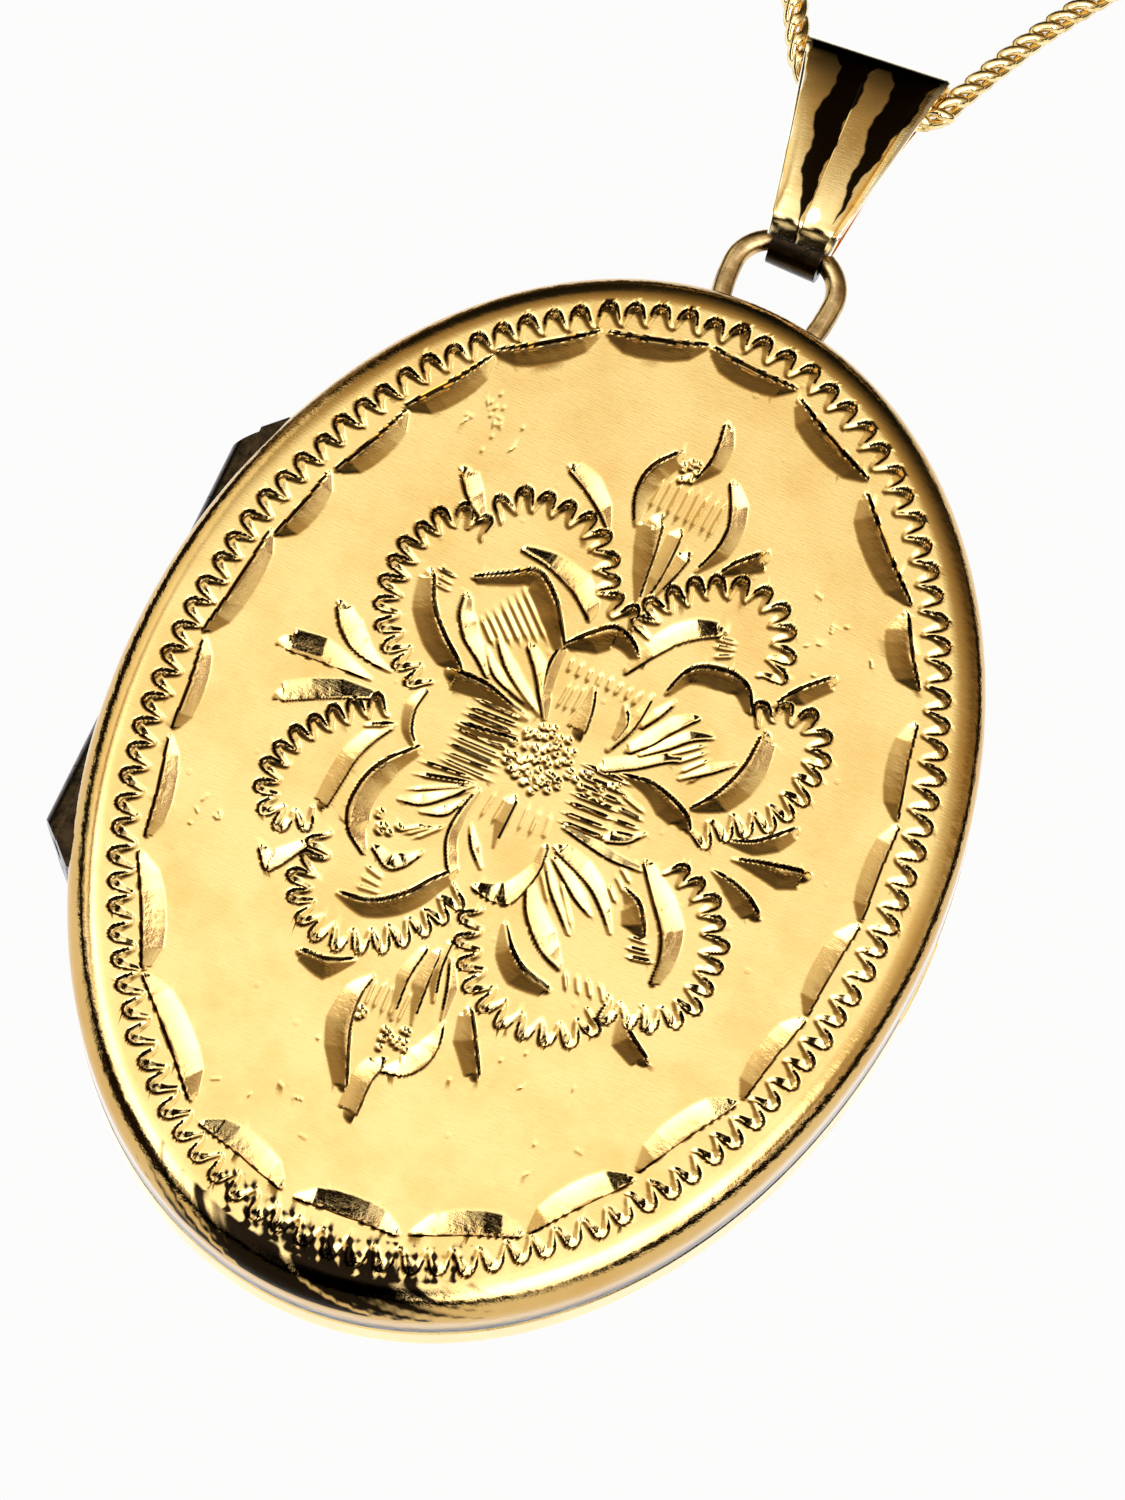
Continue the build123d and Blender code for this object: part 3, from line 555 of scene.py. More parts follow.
# Bright cuts: the facet's side, its widths from end to end in hundredths, and the line of the deep edge
CUTS = (
    # petal at the upper left
    (R, (30, 50, 80, 75, 35), -4.9, 6.2, -3.9, 6.8, -3, 7.3, -2.1, 6.7, -1.5, 5.9, -1, 5.1),
    (L, (30, 60, 50, 20), -4.95, 5.4, -4.8, 4.7, -4.3, 4, -3.6, 3.5, -3, 3),
    (L, (15, 40, 35, 10), -3.2, 4.4, -2.5, 3.6, -1.6, 2.95, -0.7, 2.5),
    (L, (10, 35, 30, 10), -3.5, 4, -2.8, 3.2, -1.8, 2.8, -1.1, 2.6),
    (L, (30, 50, 40, 15), -2.1, 4.6, -1.5, 3.9, -0.9, 3, -0.5, 2.4),
    # petal at the top
    (R, (30, 80, 85, 60, 20), -0.95, 5.3, -0.4, 5.95, 0.3, 6.55, 1, 6.4, 1.8, 5.7),
    (L, (30, 40, 35, 15), -1.1, 5.1, -1.15, 4.3, -1, 3.5, -0.8, 2.9),
    (R, (15, 30, 35, 15), 2.6, 4.8, 2.55, 4, 2.4, 3.2, 2, 2.3),
    (R, (10, 45, 70), 0.6, 4.3, 0.85, 3.5, 0.97, 2.65),
    (R, (10, 35, 20), 1.85, 4.1, 2.2, 3.5, 2.1, 2.8),
    # petal at the upper right
    (R, (15, 60, 80, 70, 20), 3, 5.1, 3.3, 6.1, 3.9, 6.6, 4.8, 6.75, 5.5, 6.5, 6, 5.7),
    (L, (45, 45, 35, 10), 2.2, 1.6, 3.2, 2.2, 4, 2.8, 4.6, 3.1),
    (L, (35, 50, 50, 20), 2.75, 2.6, 3.3, 3.2, 3.9, 4.1, 4.4, 4.7),
    (L, (20, 35, 15), 2.75, 3.6, 3.1, 4.2, 3.4, 4.9),
    (L, (20, 40, 35, 10), 3.1, 2.6, 3.9, 3.3, 4.5, 3.9, 5.2, 4.3),
    (L, (10, 35, 10), 4.7, 2.4, 5.6, 3.1, 6.3, 3.75),
    (L, (60, 80, 85, 75, 20), 6.7, 5, 6.65, 4, 6.45, 3.2, 6.1, 2.4, 5.6, 1.65),
    # petal at the right
    (R, (10, 50, 80, 70, 30), 2.8, 1.7, 3.9, 1.85, 4.8, 1.65, 5.5, 1.3, 5.8, 0.9),
    (L, (15, 30, 30, 15), 1.8, -0.9, 2.8, -1.1, 3.8, -1.25, 4.9, -1.2),
    (L, (40, 35, 10), 3.4, -0.7, 4, -0.45, 4.5, 0.1),
    # petal at the lower right
    (L, (30, 65, 80, 60, 20), 1.5, -3.3, 1.9, -4.2, 2.6, -5, 3.2, -5.4, 3.8, -5.65),
    (L, (45, 60, 50, 30, 10), 2, -1.8, 2.9, -2.15, 3.6, -2.5, 4.3, -3.1, 4.9, -3.75),
    (L, (15, 40, 40, 10), 1.95, -2.1, 2.6, -2.6, 3.3, -3.1, 4, -3.45),
    (L, (10, 30, 30, 10), 1.7, -2.2, 2.3, -3.1, 3, -3.8, 3.6, -4.4),
    (R, (15, 65, 75, 30), 4.7, -2.05, 5.3, -2.3, 5.75, -2.9, 5.95, -3.3),
    (L, (35, 75, 80, 60, 30), 4.95, -0.95, 5.8, -2, 6.5, -2.9, 6.85, -3.8, 6.95, -4.75),
    # petal at the bottom
    (R, (20, 40, 70, 75, 30), 1.55, -1.8, 1.65, -2.6, 1.5, -3.5, 1.2, -4.2, 0.6, -4.35, -0.1, -4.25),
    (L, (15, 35, 40, 35), -1.5, -0.9, -1.75, -2, -1.75, -2.9, -1.4, -3.7, -1.1, -4.1),
    (L, (10, 30, 10), -1.2, -2.2, -0.8, -2.9, -0.2, -3.5),
    (R, (45, 40, 5), -0.15, -0.8, -0.15, -1.6, -0.15, -2.6),
    # petal at the lower left
    (L, (30, 75, 80, 80, 20), -4.1, -0.4, -4.9, -1.3, -5.3, -2.2, -5.35, -3.3, -5, -4.1, -4.2, -4.7),
    (R, (10, 35, 40, 10), -1.7, -0.8, -2.4, -1.6, -3.1, -2.2, -3.9, -2.4),
    (R, (10, 35, 10), -1.8, -1.5, -2.2, -2.2, -3, -2.5),
    (L, (25, 55, 50, 10), -3.9, -4.4, -3.2, -4.8, -2.7, -4.5, -2.3, -3.8),
    (R, (15, 50, 60, 60, 50), -5.2, -0.1, -5.6, -0.8, -5.9, -1.7, -6, -2.7, -6.1, -3.65),
    # petal at the left
    (R, (75, 65, 40, 10), -4, 2.75, -2.9, 2.75, -1.9, 2.45, -1, 2.2),
    (R, (10, 45, 15), -3.2, 1, -2.3, 1.15, -1.2, 1.3),
    (L, (10, 30, 40, 20), -4.1, -0.5, -4.6, 0.1, -4.8, 0.9, -4.7, 1.6),
    # bands inside the lobes
    (R, (50, 75, 80, 70, 20), -6.3, 5.6, -5.8, 4.6, -5, 3.75, -4.3, 3.2, -3.9, 2.8),
    (L, (20, 55, 80, 60, 15), -3.8, 7.8, -2.7, 7.65, -1.6, 7.2, -0.9, 6.7, -0.6, 6.4),
    (L, (20, 60, 70, 70, 50), 1.4, 5.2, 2, 6.2, 2.6, 7, 3.2, 7.5, 3.8, 7.85),
    (R, (15, 60, 75, 40), 1.4, -4.95, 2, -5.7, 2.7, -6.2, 3.7, -6.45),
    (R, (10, 60, 70, 60, 40), -4.4, -6.4, -3.6, -6.3, -2.9, -6, -2.1, -5.3, -1.6, -4.6, -1.15, -4.1),
    # sprays between the lobes
    (L, (50, 80, 70, 35, 5), -8.8, 3.1, -8.4, 2.5, -7.7, 2, -6.9, 1.8, -6.1, 1.75),
    (L, (80, 85, 50, 5), -9.75, 1, -8.6, 1.1, -7.6, 1.15, -6.6, 1.2),
    (L, (65, 70, 65, 30), -9.1, -0.75, -8.2, -0.25, -7.3, 0.2, -6.3, 0.6),
    (L, (60, 60, 40, 5), -6.9, 9.4, -6.4, 8.8, -5.9, 8.4, -5.4, 8.15),
    (L, (45, 65, 50, 5), -3.5, 11.2, -2.8, 10.85, -2, 10.3, -1.3, 9.65),
    (R, (5, 55, 70), 2.8, 9.8, 3.2, 10.5, 3.8, 11.15),
    (R, (5, 60, 50), 6.6, 6.2, 7.1, 7.1, 7.95, 8),
    (R, (10, 50, 60, 40), 7.2, 1.05, 8, 1.4, 8.6, 1.9, 9.1, 2.4),
    (R, (5, 50, 85, 70), 7.6, 0.5, 8.5, 0.8, 9.3, 1, 10, 1.15),
    (R, (5, 50, 70, 60), 7.15, -0.15, 8, -0.25, 8.7, -0.5, 9.2, -0.85),
    (R, (20, 75, 60), 6.55, -6.35, 7.1, -6.8, 7.85, -7.3),
    (R, (45, 75, 50), 1.7, -8.4, 2.2, -9.2, 2.85, -10.3),
    (R, (35, 75, 10), -4.6, -8.85, -3.7, -8.75, -2.75, -8.35),
    (L, (30, 60, 60, 30), -7.5, -6.1, -7, -6.65, -6.6, -6.2, -6.1, -5.3),
    (R, (10, 30, 5), -6.1, -0.45, -5.6, -0.15, -5.1, 0.05),
    # bud at the top
    (L, (50, 70, 70, 50, 10), -0.4, 13.35, -0.9, 12.7, -1.1, 12, -1, 11.2, -0.6, 10.3),
    (L, (30, 60, 55, 50, 10), 1.85, 13.1, 2.2, 12.4, 2.45, 11.6, 2.4, 10.7, 2.05, 9.6),
    (L, (35, 55, 50, 5), 0.75, 15, 0.85, 14.3, 0.85, 13.5, 0.55, 12.5),
    (R, (85, 75, 50, 5), 0.25, 10.6, 0.4, 9.7, 0.5, 8.8, 0.65, 7.6),
    (R, (45, 50, 40, 5), 1, 10.6, 1.02, 9.6, 0.98, 8.8, 0.85, 7.9),
    (R, (50, 40, 5), 1.6, 9.9, 1.4, 9.1, 1.1, 8.2),
    # leaf at the bottom
    (R, (10, 60, 85, 80, 45), -1.95, -8.6, -2.1, -9.4, -2, -10.4, -1.7, -11.3, -1.15, -12.6),
    (R, (60, 70, 70), -0.3, -11.5, -0.45, -12.2, -0.4, -13.35),
    (R, (10, 60, 80, 70, 20), 0.95, -9.1, 1.15, -10, 1, -10.8, 0.5, -11.4, -0.2, -11.6),
    (L, (15, 35, 10), 0.25, -6.9, 0.6, -7.9, 0.9, -9.1),
    (R, (20, 40, 10), 0, -6.4, 0.05, -7.4, 0.35, -8.6),
    (R, (30, 50, 5), -0.2, -6.9, -0.15, -8.2, 0, -9.7),
    (R, (25, 40, 10), -0.7, -7, -0.85, -8.2, -0.7, -9.8),
)

# Sets of even line cuts: first line's ends, last line's ends, how many, width and depth
HATCHES = (
    ((-3.3, 6.6, -1.5, 5.0), (-4.1, 4.9, -3.2, 4.1), 7, 0.2295, 0.06),
    ((-0.5, 4.9, -0.45, 4.3), (2.2, 4.8, 2.1, 4.2), 8, 0.2025, 0.042),
    ((-0.3, 2.9, -0.25, 4.1), (0.3, 3.0, 0.35, 4.2), 3, 0.189, 0.036),
    ((3.9, 3.0, 5.1, 4.0), (5.0, 2.4, 5.6, 3.3), 4, 0.2025, 0.048),
    ((1.4, 1.45, 3.4, 1.5), (1.5, -0.75, 3.4, -0.65), 7, 0.2025, 0.06),
    ((3.1, 1.05, 4.2, 0.75), (3.3, -0.35, 4.3, -0.15), 4, 0.2025, 0.048),
    ((4.2, -1.35, 4.8, -1.8), (4.0, -2.5, 4.6, -3.1), 4, 0.2025, 0.048),
    ((1.65, -2.6, 2.5, -3.7), (2.4, -2.6, 3.7, -4.3), 3, 0.2025, 0.048),
    ((-0.9, -0.6, -1.0, -1.9), (1.2, -0.6, 1.3, -1.7), 6, 0.189, 0.036),
    ((-1.7, -0.6, -3.9, -0.8), (-1.7, -1.0, -3.7, -2.5), 4, 0.2295, 0.06),
    ((-2.6, -2.9, -3.6, -3.5), (-2.0, -2.6, -2.8, -3.5), 3, 0.2025, 0.042),
    ((-1.0, 2.1, -3.1, 2.05), (-1.1, -0.4, -3.3, -0.45), 9, 0.2025, 0.06),
    ((-0.4, 12.5, -0.45, 11.0), (2.0, 12.5, 1.9, 10.9), 8, 0.2025, 0.048),
    ((-1.8, -8.6, -1.75, -9.8), (-0.5, -8.4, -0.5, -9.9), 5, 0.189, 0.042),
    ((-3.9, -5.1, -3.1, -5.3), (-3.9, -5.9, -3.0, -5.8), 3, 0.216, 0.06),
    ((3.7, 7.7, 4.5, 7.8), (3.9, 7.0, 4.6, 7.4), 3, 0.216, 0.06),
    ((5.5, -3.6, 6.2, -3.5), (5.7, -4.3, 6.7, -4.1), 3, 0.243, 0.06),
    ((-6.2, 5.9, -5.5, 5.9), (-6.1, 5.4, -5.5, 5.3), 3, 0.2025, 0.048),
    ((4.0, -5.6, 4.4, -6.3), (5.3, -5.5, 5.8, -6.2), 4, 0.216, 0.06),
)

# Small random pits: middle, radius and number
PIT_FIELDS = (((0.0, 1.0), 1.25, 75), ((0.4, 12.8), 0.5, 12), ((-0.3, -10.5), 0.6, 14),
              ((-1.7, -10.1), 0.25, 5), ((2.2, 0.9), 0.8, 10), ((-3.9, -3.3), 0.5, 8))

# Nicks and short scratches of wear: middle, radius and number
NICK_FIELDS = (((-6.8, 11.6), 1.3, 9), ((-10.2, -5.6), 1.0, 3), ((-3.0, -13.6), 3.0, 5), ((5.0, -10.5), 3.5, 6),
               ((7.5, 9.0), 3.0, 5))


def engrave(relief):
    for u0, v0, u1, v1, width in BORDER_CHIPS:
        run = np.array([u1 - u0, v1 - v0])
        sag = CHIP_SAG * np.array([run[1], -run[0]]) / np.linalg.norm(run)
        points = [(u0, v0), (0.5 * (u0 + u1) + sag[0], 0.5 * (v0 + v1) + sag[1]), (u1, v1)]
        relief.facet(points, np.array(CHIP_WIDTHS) * width, R, CHIP_SLOPE)
    ring = [offset_oval(angle, RING_INSET) for angle in np.linspace(0, 2 * math.pi, 73)]
    relief.wriggle(np.add(ring[::-1], RING_SHIFT), RING_PITCH, TOOTH_HEIGHT, L)
    for lobe in LOBES:
        line = np.reshape(lobe, (-1, 2))
        relief.wriggle(line, LOBE_PITCH, TOOTH_HEIGHT, L if turns_right(line) else R)
    for side, widths, *line in CUTS:
        relief.facet(np.reshape(line, (-1, 2)), np.array(widths) / 100, side)
    for first, last, count, width, depth in HATCHES:
        for step in np.linspace(0.0, 1.0, count):
            u0, v0, u1, v1 = (1 - step) * np.array(first) + step * np.array(last) + rng.uniform(-0.04, 0.04, 4)
            middle = (0.5 * (u0 + u1) + rng.uniform(-0.03, 0.03), 0.5 * (v0 + v1))
            relief.groove([(u0, v0), middle, (u1, v1)], width * rng.uniform(0.85, 1.15),
                          depth * rng.uniform(0.7, 1.3))
    for centre, radius, count in PIT_FIELDS:
        relief.pits(centre, radius, count)
    for centre, radius, count in NICK_FIELDS:
        relief.pits(centre, radius, count, 0.09, 0.035)
        relief.scratches(centre, radius, count)
    # Painted dark reflection on the lowest border teeth.
    relief.paint_dark_low_edge()


def turns_right(line):
    """Whether a lobe's line runs clockwise about the flower."""
    chord = line[-1] - line[0]
    bulge = line.mean(axis=0) - 0.5 * (line[0] + line[-1])
    return chord[0] * bulge[1] - chord[1] * bulge[0] > 0


def offset_oval(angle, inset):
    """Point of the case's oval moved inwards square to its edge."""
    cos, sin = np.cos(angle), np.sin(angle)
    share = inset / np.hypot(HALF_HEIGHT * cos, HALF_WIDTH * sin)
    return (HALF_WIDTH - share * HALF_HEIGHT) * cos, (HALF_HEIGHT - share * HALF_WIDTH) * sin


# ------------------------ front cover

COARSE = 116            # cells across the face
FINE = 5                # finer cells across each engraved one
UNCUT = 0.002           # cells no deeper than this stay coarse


def face_grid():
    """Round grid: a square grid drawn out to the oval, so that its edge is the inner shoulder line."""
    count = COARSE * FINE
    axis = np.linspace(-1.0, 1.0, count + 1)
    a, b = np.meshgrid(axis, axis, indexing="ij")
    wide = np.abs(a) >= np.abs(b)
    radius = np.where(wide, np.abs(a), np.abs(b))
    safe_a, safe_b = np.where(a == 0, 1.0, a), np.where(b == 0, 1.0, b)
    angle = np.where(wide, np.pi / 4 * b / safe_a + np.where(a < 0, np.pi, 0.0),
                     np.pi / 2 - np.pi / 4 * a / safe_b + np.where(b < 0, np.pi, 0.0))
    u, v = offset_oval(angle, SHOULDER)
    return radius * u, radius * v


class Shell:
    """Collects the points and faces of a case half; heights are from the seam."""

    def __init__(self, facing):
        self.facing = facing
        self.points, self.faces, self.tones = [], [], []

    def point(self, u, v, height, tone=0.0):
        self.points.append((u, SEAM_Y + self.facing * height, CASE_Z + v))
        self.tones.append(tone)
        return len(self.points) - 1

    def face(self, *corners):
        self.faces.append(tuple(corners))


def square(x, y, size):
    """Places along the four sides of a square of the grid, from its corner at x, y."""
    steps = range(size)
    return ([(x + step, y) for step in steps] + [(x + size, y + step) for step in steps]
            + [(x + size - step, y + size) for step in steps] + [(x, y + size - step) for step in steps])


def engraved_face(shell):
    """The engraved plate. Returns its edge: for each coarse step, the points along that step."""
    u, v = face_grid()
    relief = Relief(u, v)
    engrave(relief)
    depth, count = relief.depth, COARSE * FINE
    depth[0], depth[count], depth[:, 0], depth[:, count] = 0.0, 0.0, 0.0, 0.0
    index = -np.ones(u.shape, dtype=int)

    def corner(i, j):
        if index[i, j] < 0:
            index[i, j] = shell.point(u[i, j], v[i, j], COVER_DEPTH - depth[i, j], relief.tone[i, j])
        return int(index[i, j])

    cut = depth > UNCUT
    engraved = np.zeros((COARSE, COARSE), dtype=bool)
    for i in range(COARSE):
        for j in range(COARSE):
            engraved[i, j] = cut[i * FINE:i * FINE + FINE + 1, j * FINE:j * FINE + FINE + 1].any()
    for i, j in zip(*np.nonzero(engraved)):
        for di in range(FINE):
            for dj in range(FINE):
                x, y = i * FINE + di, j * FINE + dj
                shell.face(corner(x, y), corner(x + 1, y), corner(x + 1, y + 1), corner(x, y + 1))
    for i, j in zip(*np.nonzero(~engraved)):
        loop = square(i * FINE, j * FINE, FINE)
        kept = [corner(*place) for number, place in enumerate(loop) if number % FINE == 0 or index[place] >= 0]
        shell.face(*kept)
    edge = square(0, 0, count)
    edge = edge[count:] + edge[:count]
    steps = []
    for start in range(0, len(edge), FINE):
        run = [edge[start]] + [place for place in edge[start + 1:start + FINE] if index[place] >= 0]
        steps.append([corner(*place) for place in run])
    return steps


def build_front_cover():
    shell = Shell(-1)
    edge = engraved_face(shell)
    angles = [-math.pi / 4 + 2 * math.pi * step / len(edge) for step in range(len(edge))]
    total = len(angles)
    profile = [(CHAMFER, HALF_SEAM), (0.0, HALF_SEAM + CHAMFER), (0.0, SLOT_DEPTH)]
    straight = COVER_DEPTH - SHOULDER
    arc = [math.radians(turn) for turn in np.arange(0.0, 90.0, 7.5)]
    profile += [(SHOULDER * (1 - math.cos(turn)), straight + SHOULDER * math.sin(turn)) for turn in arc]
    inner_round = SHOULDER - WALL
    inside = [(WALL, HALF_SEAM), (WALL, SLOT_DEPTH)]
    inside += [(SHOULDER - inner_round * math.cos(turn), straight + inner_round * math.sin(turn))
               for turn in arc + [math.pi / 2]]

    phases = rng.uniform(0, 2 * math.pi, 6)

    def seam_and_shoulder_shade(angle, height):
        """Painted shade, black along the seam, and a mottled painted dark reflection, black low on the
        shoulder.
        """
        if height < 0.2:
            return -1.0
        near = 1.0 - abs((math.degrees(angle) + 90.0 + 180.0) % 360.0 - 180.0) / 24.0
        if near <= -0.4 or height <= 1.5:
            return 0.0
        mottle = sum(math.sin(step * (17 * angle + 5 * height) + phase) for step, phase in enumerate(phases, 1))
        return -min(max(1.6 * near + 0.28 * mottle, 0.0), 1.0)

    def ring(inset, height):
        return [shell.point(*offset_oval(angle, inset), height, seam_and_shoulder_shade(angle, height)) for angle in angles]

    outer = [ring(*place) for place in profile]
    inner = [ring(*place) for place in inside]
    in_slot = [math.cos(angle) < 0 and abs(HALF_HEIGHT * math.sin(angle)) <= SLOT_HALF_LENGTH
               for angle in angles]
    for k in range(total):
        nxt = (k + 1) % total
        open_here = in_slot[k] and in_slot[nxt]
        for level in range(len(outer) - 1):
            if not (open_here and level < 2):
                a, b = outer[level], outer[level + 1]
                shell.face(a[nxt], a[k], b[k], b[nxt])
        shell.face(outer[-1][nxt], outer[-1][k], *edge[k], edge[nxt][0])
        for level in range(len(inner) - 1):
            if not (open_here and level == 0):
                a, b = inner[level], inner[level + 1]
                shell.face(a[k], a[nxt], b[nxt], b[k])
        if open_here:
            shell.face(outer[2][nxt], inner[1][nxt], inner[1][k], outer[2][k])
        else:
            shell.face(outer[0][k], outer[0][nxt], inner[0][nxt], inner[0][k])
        if in_slot[k] != in_slot[nxt]:
            end = nxt if in_slot[nxt] else k
            cap = [outer[0][end], outer[1][end], outer[2][end], inner[1][end], inner[0][end]]
            shell.face(*cap)
    shell.face(*inner[-1])
    cover = mesh_object("engraved_front_cover", shell.points, shell.faces, FACE_GOLD, 42.0, shell.tones)
    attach(cover, "cover")
    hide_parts("front_cover")


build_front_cover()


# ------------------------ bail

# Side view of the strip's outer skin, from the front leaf's end up over the chain and down the back leaf: y, z
BAIL_SKIN = ((-0.94, -6.5), (-1.15, -6.18), (-1.37, -5.87), (-1.42, -5.5), (-1.455, -5.0), (-1.47, -4.4),
             (-1.455, -3.6), (-1.41, -2.7), (-1.33, -1.8), (-1.22, -0.9), (-1.08, -0.1), (-0.93, 0.5),
             (-0.77, 0.95), (-0.56, 1.29), (-0.27, 1.52), (0.05, 1.6), (0.4, 1.5), (0.75, 1.22), (1.0, 0.7),
             (1.12, 0.1), (1.2, -1.0), (1.27, -2.2), (1.31, -3.6), (1.3, -4.8), (1.24, -5.6), (1.12, -6.1),
             (0.97, -6.5))
FRONT_WIDTH = ((-6.75, -6.0, 1.5), (1.16, 1.3, 2.72))      # half width of the front leaf by height
BACK_WIDTH = ((-6.75, -2.2, 0.3, 1.5), (0.95, 1.55, 2.3, 2.72))
RIB_DEPTH = ((-6.5, -5.9, -4.5, -2.5, -0.5, 0.6, 1.1), (0.0, 0.1, 0.22, 0.24, 0.2, 0.1, 0.0))
# Flutes with painted dark reflections: height, then start and end of the left one and of the right one across
# the half width
FLUTES = ((-5.6, -0.2, -0.15, 0.66, 0.66), (-5.0, -0.36, -0.12, 0.62, 0.69), (-4.0, -0.54, -0.12, 0.5, 0.66),
          (-3.0, -0.5, -0.08, 0.47, 0.73), (-2.0, -0.6, -0.08, 0.38, 0.77), (-1.0, -0.53, -0.05, 0.35, 0.84),
          (0.5, -0.42, -0.01, 0.38, 0.86), (1.0, -0.6, 0.05, 0.2, 0.9))
BAIL_THICKNESS, EDGE_ROLL = 0.24, 0.07
BAIL_LEAN = math.radians(3.2)
BAIL_RISE = 7.8                        # foot axis to the top of the fold
TOP_SHIFT, TOP_SLOPE = 0.08, 0.045     # the top sits a little to the right and rises to the right


def rib(across):
    """Drop of the front leaf across its half width, as a share of the rib depth."""
    if across < -0.93:
        return 0.75 - 8.0 * (0.93 + across)
    if across < -0.08:
        crest, reach = -0.5, 0.42
    elif across < 0.8:
        crest, reach = 0.3, 0.5
    else:
        return 1.0 - 4.5 * (across - 0.8)
    return 0.75 * min(abs(across - crest) / reach, 1.0) ** 2


def flute_tone(across, z):
    """Tone of the front leaf: painted dark reflections in the flutes, painted shade towards the top, painted
    highlights on the edges, one painted highlight spot above the foot.
    """
    if math.hypot((across - 0.1) / 0.2, (z + 5.45) / 0.3) < 1.0:
        return 2.0
    across += 0.03 * math.sin(3.1 * z) + 0.01 * math.sin(11.0 * z + 1.0)
    keys = np.array(FLUTES)
    starts = [np.interp(z, keys[:, 0], keys[:, column]) for column in range(1, 5)]
    dark_reflection = 0.0
    for start, end in (starts[:2], starts[2:]):
        inside = min((across - start) / 0.07, (end - across) / 0.03)
        dark_reflection = max(dark_reflection, min(max(0.5 + inside, 0.0), 1.0) * (end - start > 0.01))
    top = np.interp(z, (0.8, 1.0, 1.26, 1.32), (0.0, 1.0, 1.0, 0.0)) * (abs(across) < 0.95)
    shaded = np.interp(z, (-2.6, -0.6, 0.9), (0.0, 0.42, 0.62)) * (1.0 if across < -0.4 else 0.85)
    return 2.0 if abs(across) > 0.93 or z > 1.32 or z < -6.4 else -max(dark_reflection, top, shaded)


def build_bail():
    """Tapered strip folded over the chain, its front leaf pressed into two long ribs, with painted dark
    reflections in its flutes.
    """
    skin = smooth_line(BAIL_SKIN)
    tangent = np.gradient(skin, axis=0)
    tangent /= np.linalg.norm(tangent, axis=1)[:, None]
    outward = np.stack([-tangent[:, 1], tangent[:, 0]], axis=1)
    front_rows = int(skin[:, 1].argmax())
    columns, cos, sin = 90, math.cos(BAIL_LEAN), math.sin(BAIL_LEAN)
    verts, tones = [], []
    for layer in (0, 1):
        for row, (y, z) in enumerate(skin):
            front = row < front_rows
            half = np.interp(z, *(FRONT_WIDTH if front else BACK_WIDTH))
            ribbed = np.interp(z, *RIB_DEPTH) if front else 0.0
            for column in range(columns + 1):
                across = -1.0 + 2.0 * column / columns
                rolled = EDGE_ROLL * max(0.0, (abs(across) - 0.95) / 0.05)
                drop = ribbed * rib(across) + (BAIL_THICKNESS if layer else rolled)
                share = (z - FOOT_Z) / BAIL_RISE
                x = across * half + TOP_SHIFT * share
                lifted = z - outward[row, 1] * drop - FOOT_Z + TOP_SLOPE * x * share
                verts.append((x * cos - lifted * sin, y - outward[row, 0] * drop,
                              FOOT_Z + lifted * cos + x * sin))
                tones.append(flute_tone(across, z) if front and layer == 0 else 0.0)
    outer, inner = np.arange(len(verts)).reshape(2, len(skin), columns + 1)
    rings = np.hstack([outer, inner[:, ::-1]]).tolist()
    faces = bands(rings)
    for ring in (rings[0], rings[-1]):
        faces += [(ring[k], ring[k + 1], ring[-k - 2], ring[-k - 1]) for k in range(columns)]
    bail = mesh_object("ribbed_bail", verts, faces, BAIL_GOLD, 50.0, tones)
    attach(bail, "bail")
    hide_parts("bail")


build_bail()


# ------------------------ clear windows

WINDOW_HALF_WIDTH, WINDOW_HALF_HEIGHT = 12.6, 17.25
# Share of the window's half sizes and height from the seam, from the flat inner face out over the crowned one
WINDOW_PROFILE = ((0.998, 1.82), (1.0, 1.81), (1.0, 1.58), (0.996, 1.567), (0.9, 1.56), (0.7, 1.54),
                  (0.45, 1.52), (0.2, 1.51))


def build_window(half, body, facing):
    """Slightly crowned clear sheet that stands just clear of its card."""
    steps, points = 144, []
    for share, height in WINDOW_PROFILE:
        for angle in np.linspace(0.0, 2 * math.pi, steps, endpoint=False):
            points.append((share * WINDOW_HALF_WIDTH * math.cos(angle), SEAM_Y + facing * height,
                           CASE_Z + share * WINDOW_HALF_HEIGHT * math.sin(angle)))
    rings = np.arange(len(points)).reshape(-1, steps).tolist()
    window = mesh_object(f"{half}_clear_sheet", points, bands(rings) + [rings[0], rings[-1]], WINDOW,
                         smooth_angle=30.0)
    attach(window, body)
    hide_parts(f"{half}_window")


build_window("back", "locket", 1)
build_window("front", "cover", -1)


# ------------------------ carried-over pieces

FINISHES = {
    GOLD: ("back_cover", "closing_flange", "back_photo_frame", "front_photo_frame"),
    # The hinge and the bail foot get the near-black gold of painted shade.
    DARK_GOLD: ("back_hinge_bearer", "front_hinge_bearer", "back_knuckle_lower", "back_knuckle_middle",
                "back_knuckle_upper", "front_knuckle_lower", "front_knuckle_upper", "bail_foot"),
    LOOP_GOLD: ("hanging_loop",),
    CHAIN_GOLD: ("clasp_link", "clasp_eye", "clasp_body", "clasp_bolt", "end_link", "end_tag"),
    STEEL: ("hinge_pin", "clasp_spring"),
    CARD: ("back_photo_card", "front_photo_card"),
}
for finish, names in FINISHES.items():
    for name in names:
        for place in nodes[name].material_slots:
            place.material = finish


# ------------------------ stage and light

def build_floor():
    material, n, place = new_material("pale_floor")
    grain = n.noise(place, 60.0, 3.0, 0.6)
    colour = n.mix(grain, (0.86, 0.86, 0.85), (0.9, 0.9, 0.89))
    shader = n.add("ShaderNodeBsdfPrincipled", {"Base Color": colour, "Roughness": 0.8})
    finish_material(n, shader)
    size, floor_z = 1500.0, -200.0
    corners = [(x * size, y * size, floor_z) for x, y in ((-1, -1), (1, -1), (1, 1), (-1, 1))]
    floor = mesh_object("floor", corners, [(0, 1, 2, 3)], material)
    floor.visible_glossy = False


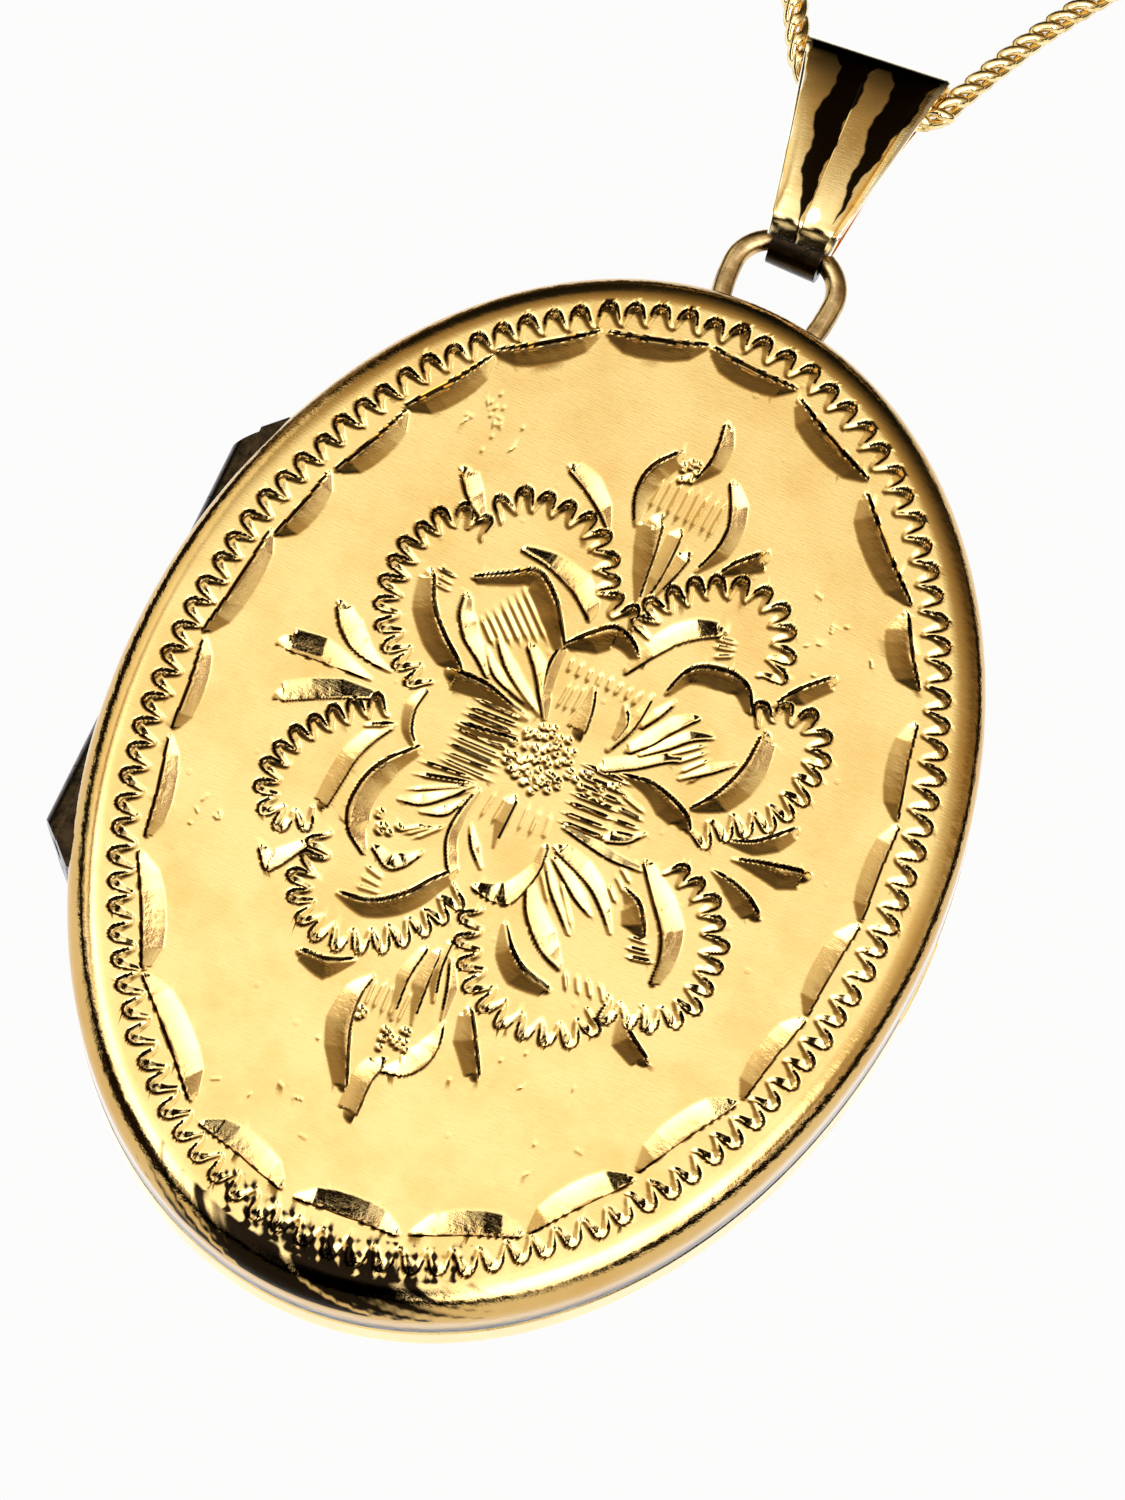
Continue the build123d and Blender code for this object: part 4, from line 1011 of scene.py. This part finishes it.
# Soft cards and dark flags round the metal: turn and height of the middle in degrees, half sizes, softness and
# light. Turn 0 is straight ahead of the locket, positive to its right.
FLAGS = (
    ((55, 10), (38, 14), 0.4, (0.72, 0.60, 0.44)),
    ((32, -16), (24, 20), 0.35, (3.8, 4.0, 4.6)),
    ((-31, -11), (14, 20), 0.3, (3.0, 3.1, 3.6)),
    ((-41, 3), (5, 13), 0.5, (0.24, 0.12, 0.07)),
    ((-67, 12), (21, 20), 0.15, (1.15, 1.12, 1.0)),
    ((-72, 51), (42, 16), 0.2, (0.012, 0.01, 0.008)),
    ((-62, -31), (27, 14), 0.25, (0.02, 0.012, 0.008)),
    ((52, -4), (8, 6), 0.5, (0.28, 0.2, 0.1)),
    ((112, 50), (14, 17), 0.3, (0.012, 0.01, 0.008)),
    ((0, -30), (13, 22), 0.12, (0.008, 0.006, 0.004)),
    ((-6, -47), (76, 9), 0.12, (0.01, 0.008, 0.006)),
)


def build_world():
    """Pale studio; polished metal sees its cards and flags: bright low front, brown above, dark overhead."""
    world = bpy.data.worlds.new("studio")
    world.use_nodes = True
    scene.world = world
    n = Nodes(world.node_tree)
    direction = n.add("ShaderNodeTexCoord").outputs["Generated"]
    parts = n.add("ShaderNodeSeparateXYZ", {"Vector": direction})
    ragged = n.math("MULTIPLY_ADD", n.noise(direction, 5.0, 3.0, 0.6), 12.0, -6.0)
    uneven = n.math("MULTIPLY_ADD", n.noise(direction, 3.7, 3.0, 0.6, 0.5), 7.0, -3.5)
    forward = n.math("MULTIPLY", parts.outputs["Y"], -1.0)
    turn = n.math("MULTIPLY", n.math("ARCTAN2", parts.outputs["X"], forward), 180 / math.pi)
    height = n.math("MULTIPLY", n.math("ARCSINE", parts.outputs["Z"]), 180 / math.pi)
    level = n.math("MULTIPLY_ADD", height, 1 / 180, 0.5)
    rough_turn = n.math("ADD", turn, ragged)
    rough_height = n.math("ADD", height, uneven)

    def at(angle, shade):
        return (angle / 180 + 0.5, shade)

    pale = (1.2, 1.22, 1.28)
    sides = n.ramp(level, [at(-90, 1.0), at(-50, 1.15), at(-20, pale), at(48, pale), at(57, 1.0), at(67, 0.01),
                           at(90, 0.005)])
    front = n.ramp(level, [
        at(-90, 1.0), at(-57, 1.0), at(-53, 0.02), at(-45, 0.02), at(-41, 0.9), at(-34, (1.7, 1.7, 1.95)),
        at(9, (1.5, 1.5, 1.68)), at(13.5, (1.36, 1.35, 1.42)), at(18.5, 1.1), at(21.5, 0.75),
        at(25, (0.5, 0.38, 0.23)), at(36, (0.32, 0.23, 0.13)), at(46, (0.17, 0.12, 0.067)),
        at(56, (0.08, 0.06, 0.035)), at(66, (0.03, 0.024, 0.015)), at(74, 0.006)])
    left_edge = n.math("ADD", n.math("MULTIPLY_ADD", rough_height, 1.28, 76.2), turn)
    right_edge = n.math("ADD", n.math("MULTIPLY_ADD", rough_height, -0.685, -89.0), turn)
    ahead = n.math("MULTIPLY", n.smooth(left_edge, -4.0, 4.0), n.smooth(right_edge, 4.0, -4.0))
    shade = n.mix(ahead, sides, front)
    for middle, half, soft, light in FLAGS:
        wide = n.math("DIVIDE", n.math("SUBTRACT", rough_turn, middle[0]), half[0])
        tall = n.math("DIVIDE", n.math("SUBTRACT", rough_height, middle[1]), half[1])
        away = n.math("SQRT", n.math("MULTIPLY_ADD", wide, wide, n.math("MULTIPLY", tall, tall)))
        shade = n.mix(n.smooth(away, 1.0 + soft, 1.0 - soft), shade, light)
    for edge, thick, low, high in ((left_edge, 16.0, -30.0, 34.0), (right_edge, 13.0, -36.0, 46.0)):
        band = n.smooth(n.math("ABSOLUTE", edge), thick + 2.0, thick - 2.0)
        band = n.math("MULTIPLY", band, n.smooth(rough_height, low - 6.0, low + 6.0))
        band = n.math("MULTIPLY", band, n.smooth(rough_height, high + 6.0, high - 6.0))
        shade = n.mix(band, shade, (0.012, 0.008, 0.005))
    rays = n.add("ShaderNodeLightPath")
    glossy = n.add("ShaderNodeBackground", {"Color": shade, "Strength": 1.0})
    plain = n.add("ShaderNodeBackground", {"Color": (0.97, 0.97, 0.965, 1.0), "Strength": 1.0})
    mixed = n.add("ShaderNodeMixShader", {0: rays.outputs["Is Glossy Ray"], 1: plain.outputs[0],
                                          2: glossy.outputs[0]})
    n.add("ShaderNodeOutputWorld", {"Surface": mixed.outputs[0]})
    scene.view_settings.view_transform = "Standard"


build_floor()
build_world()
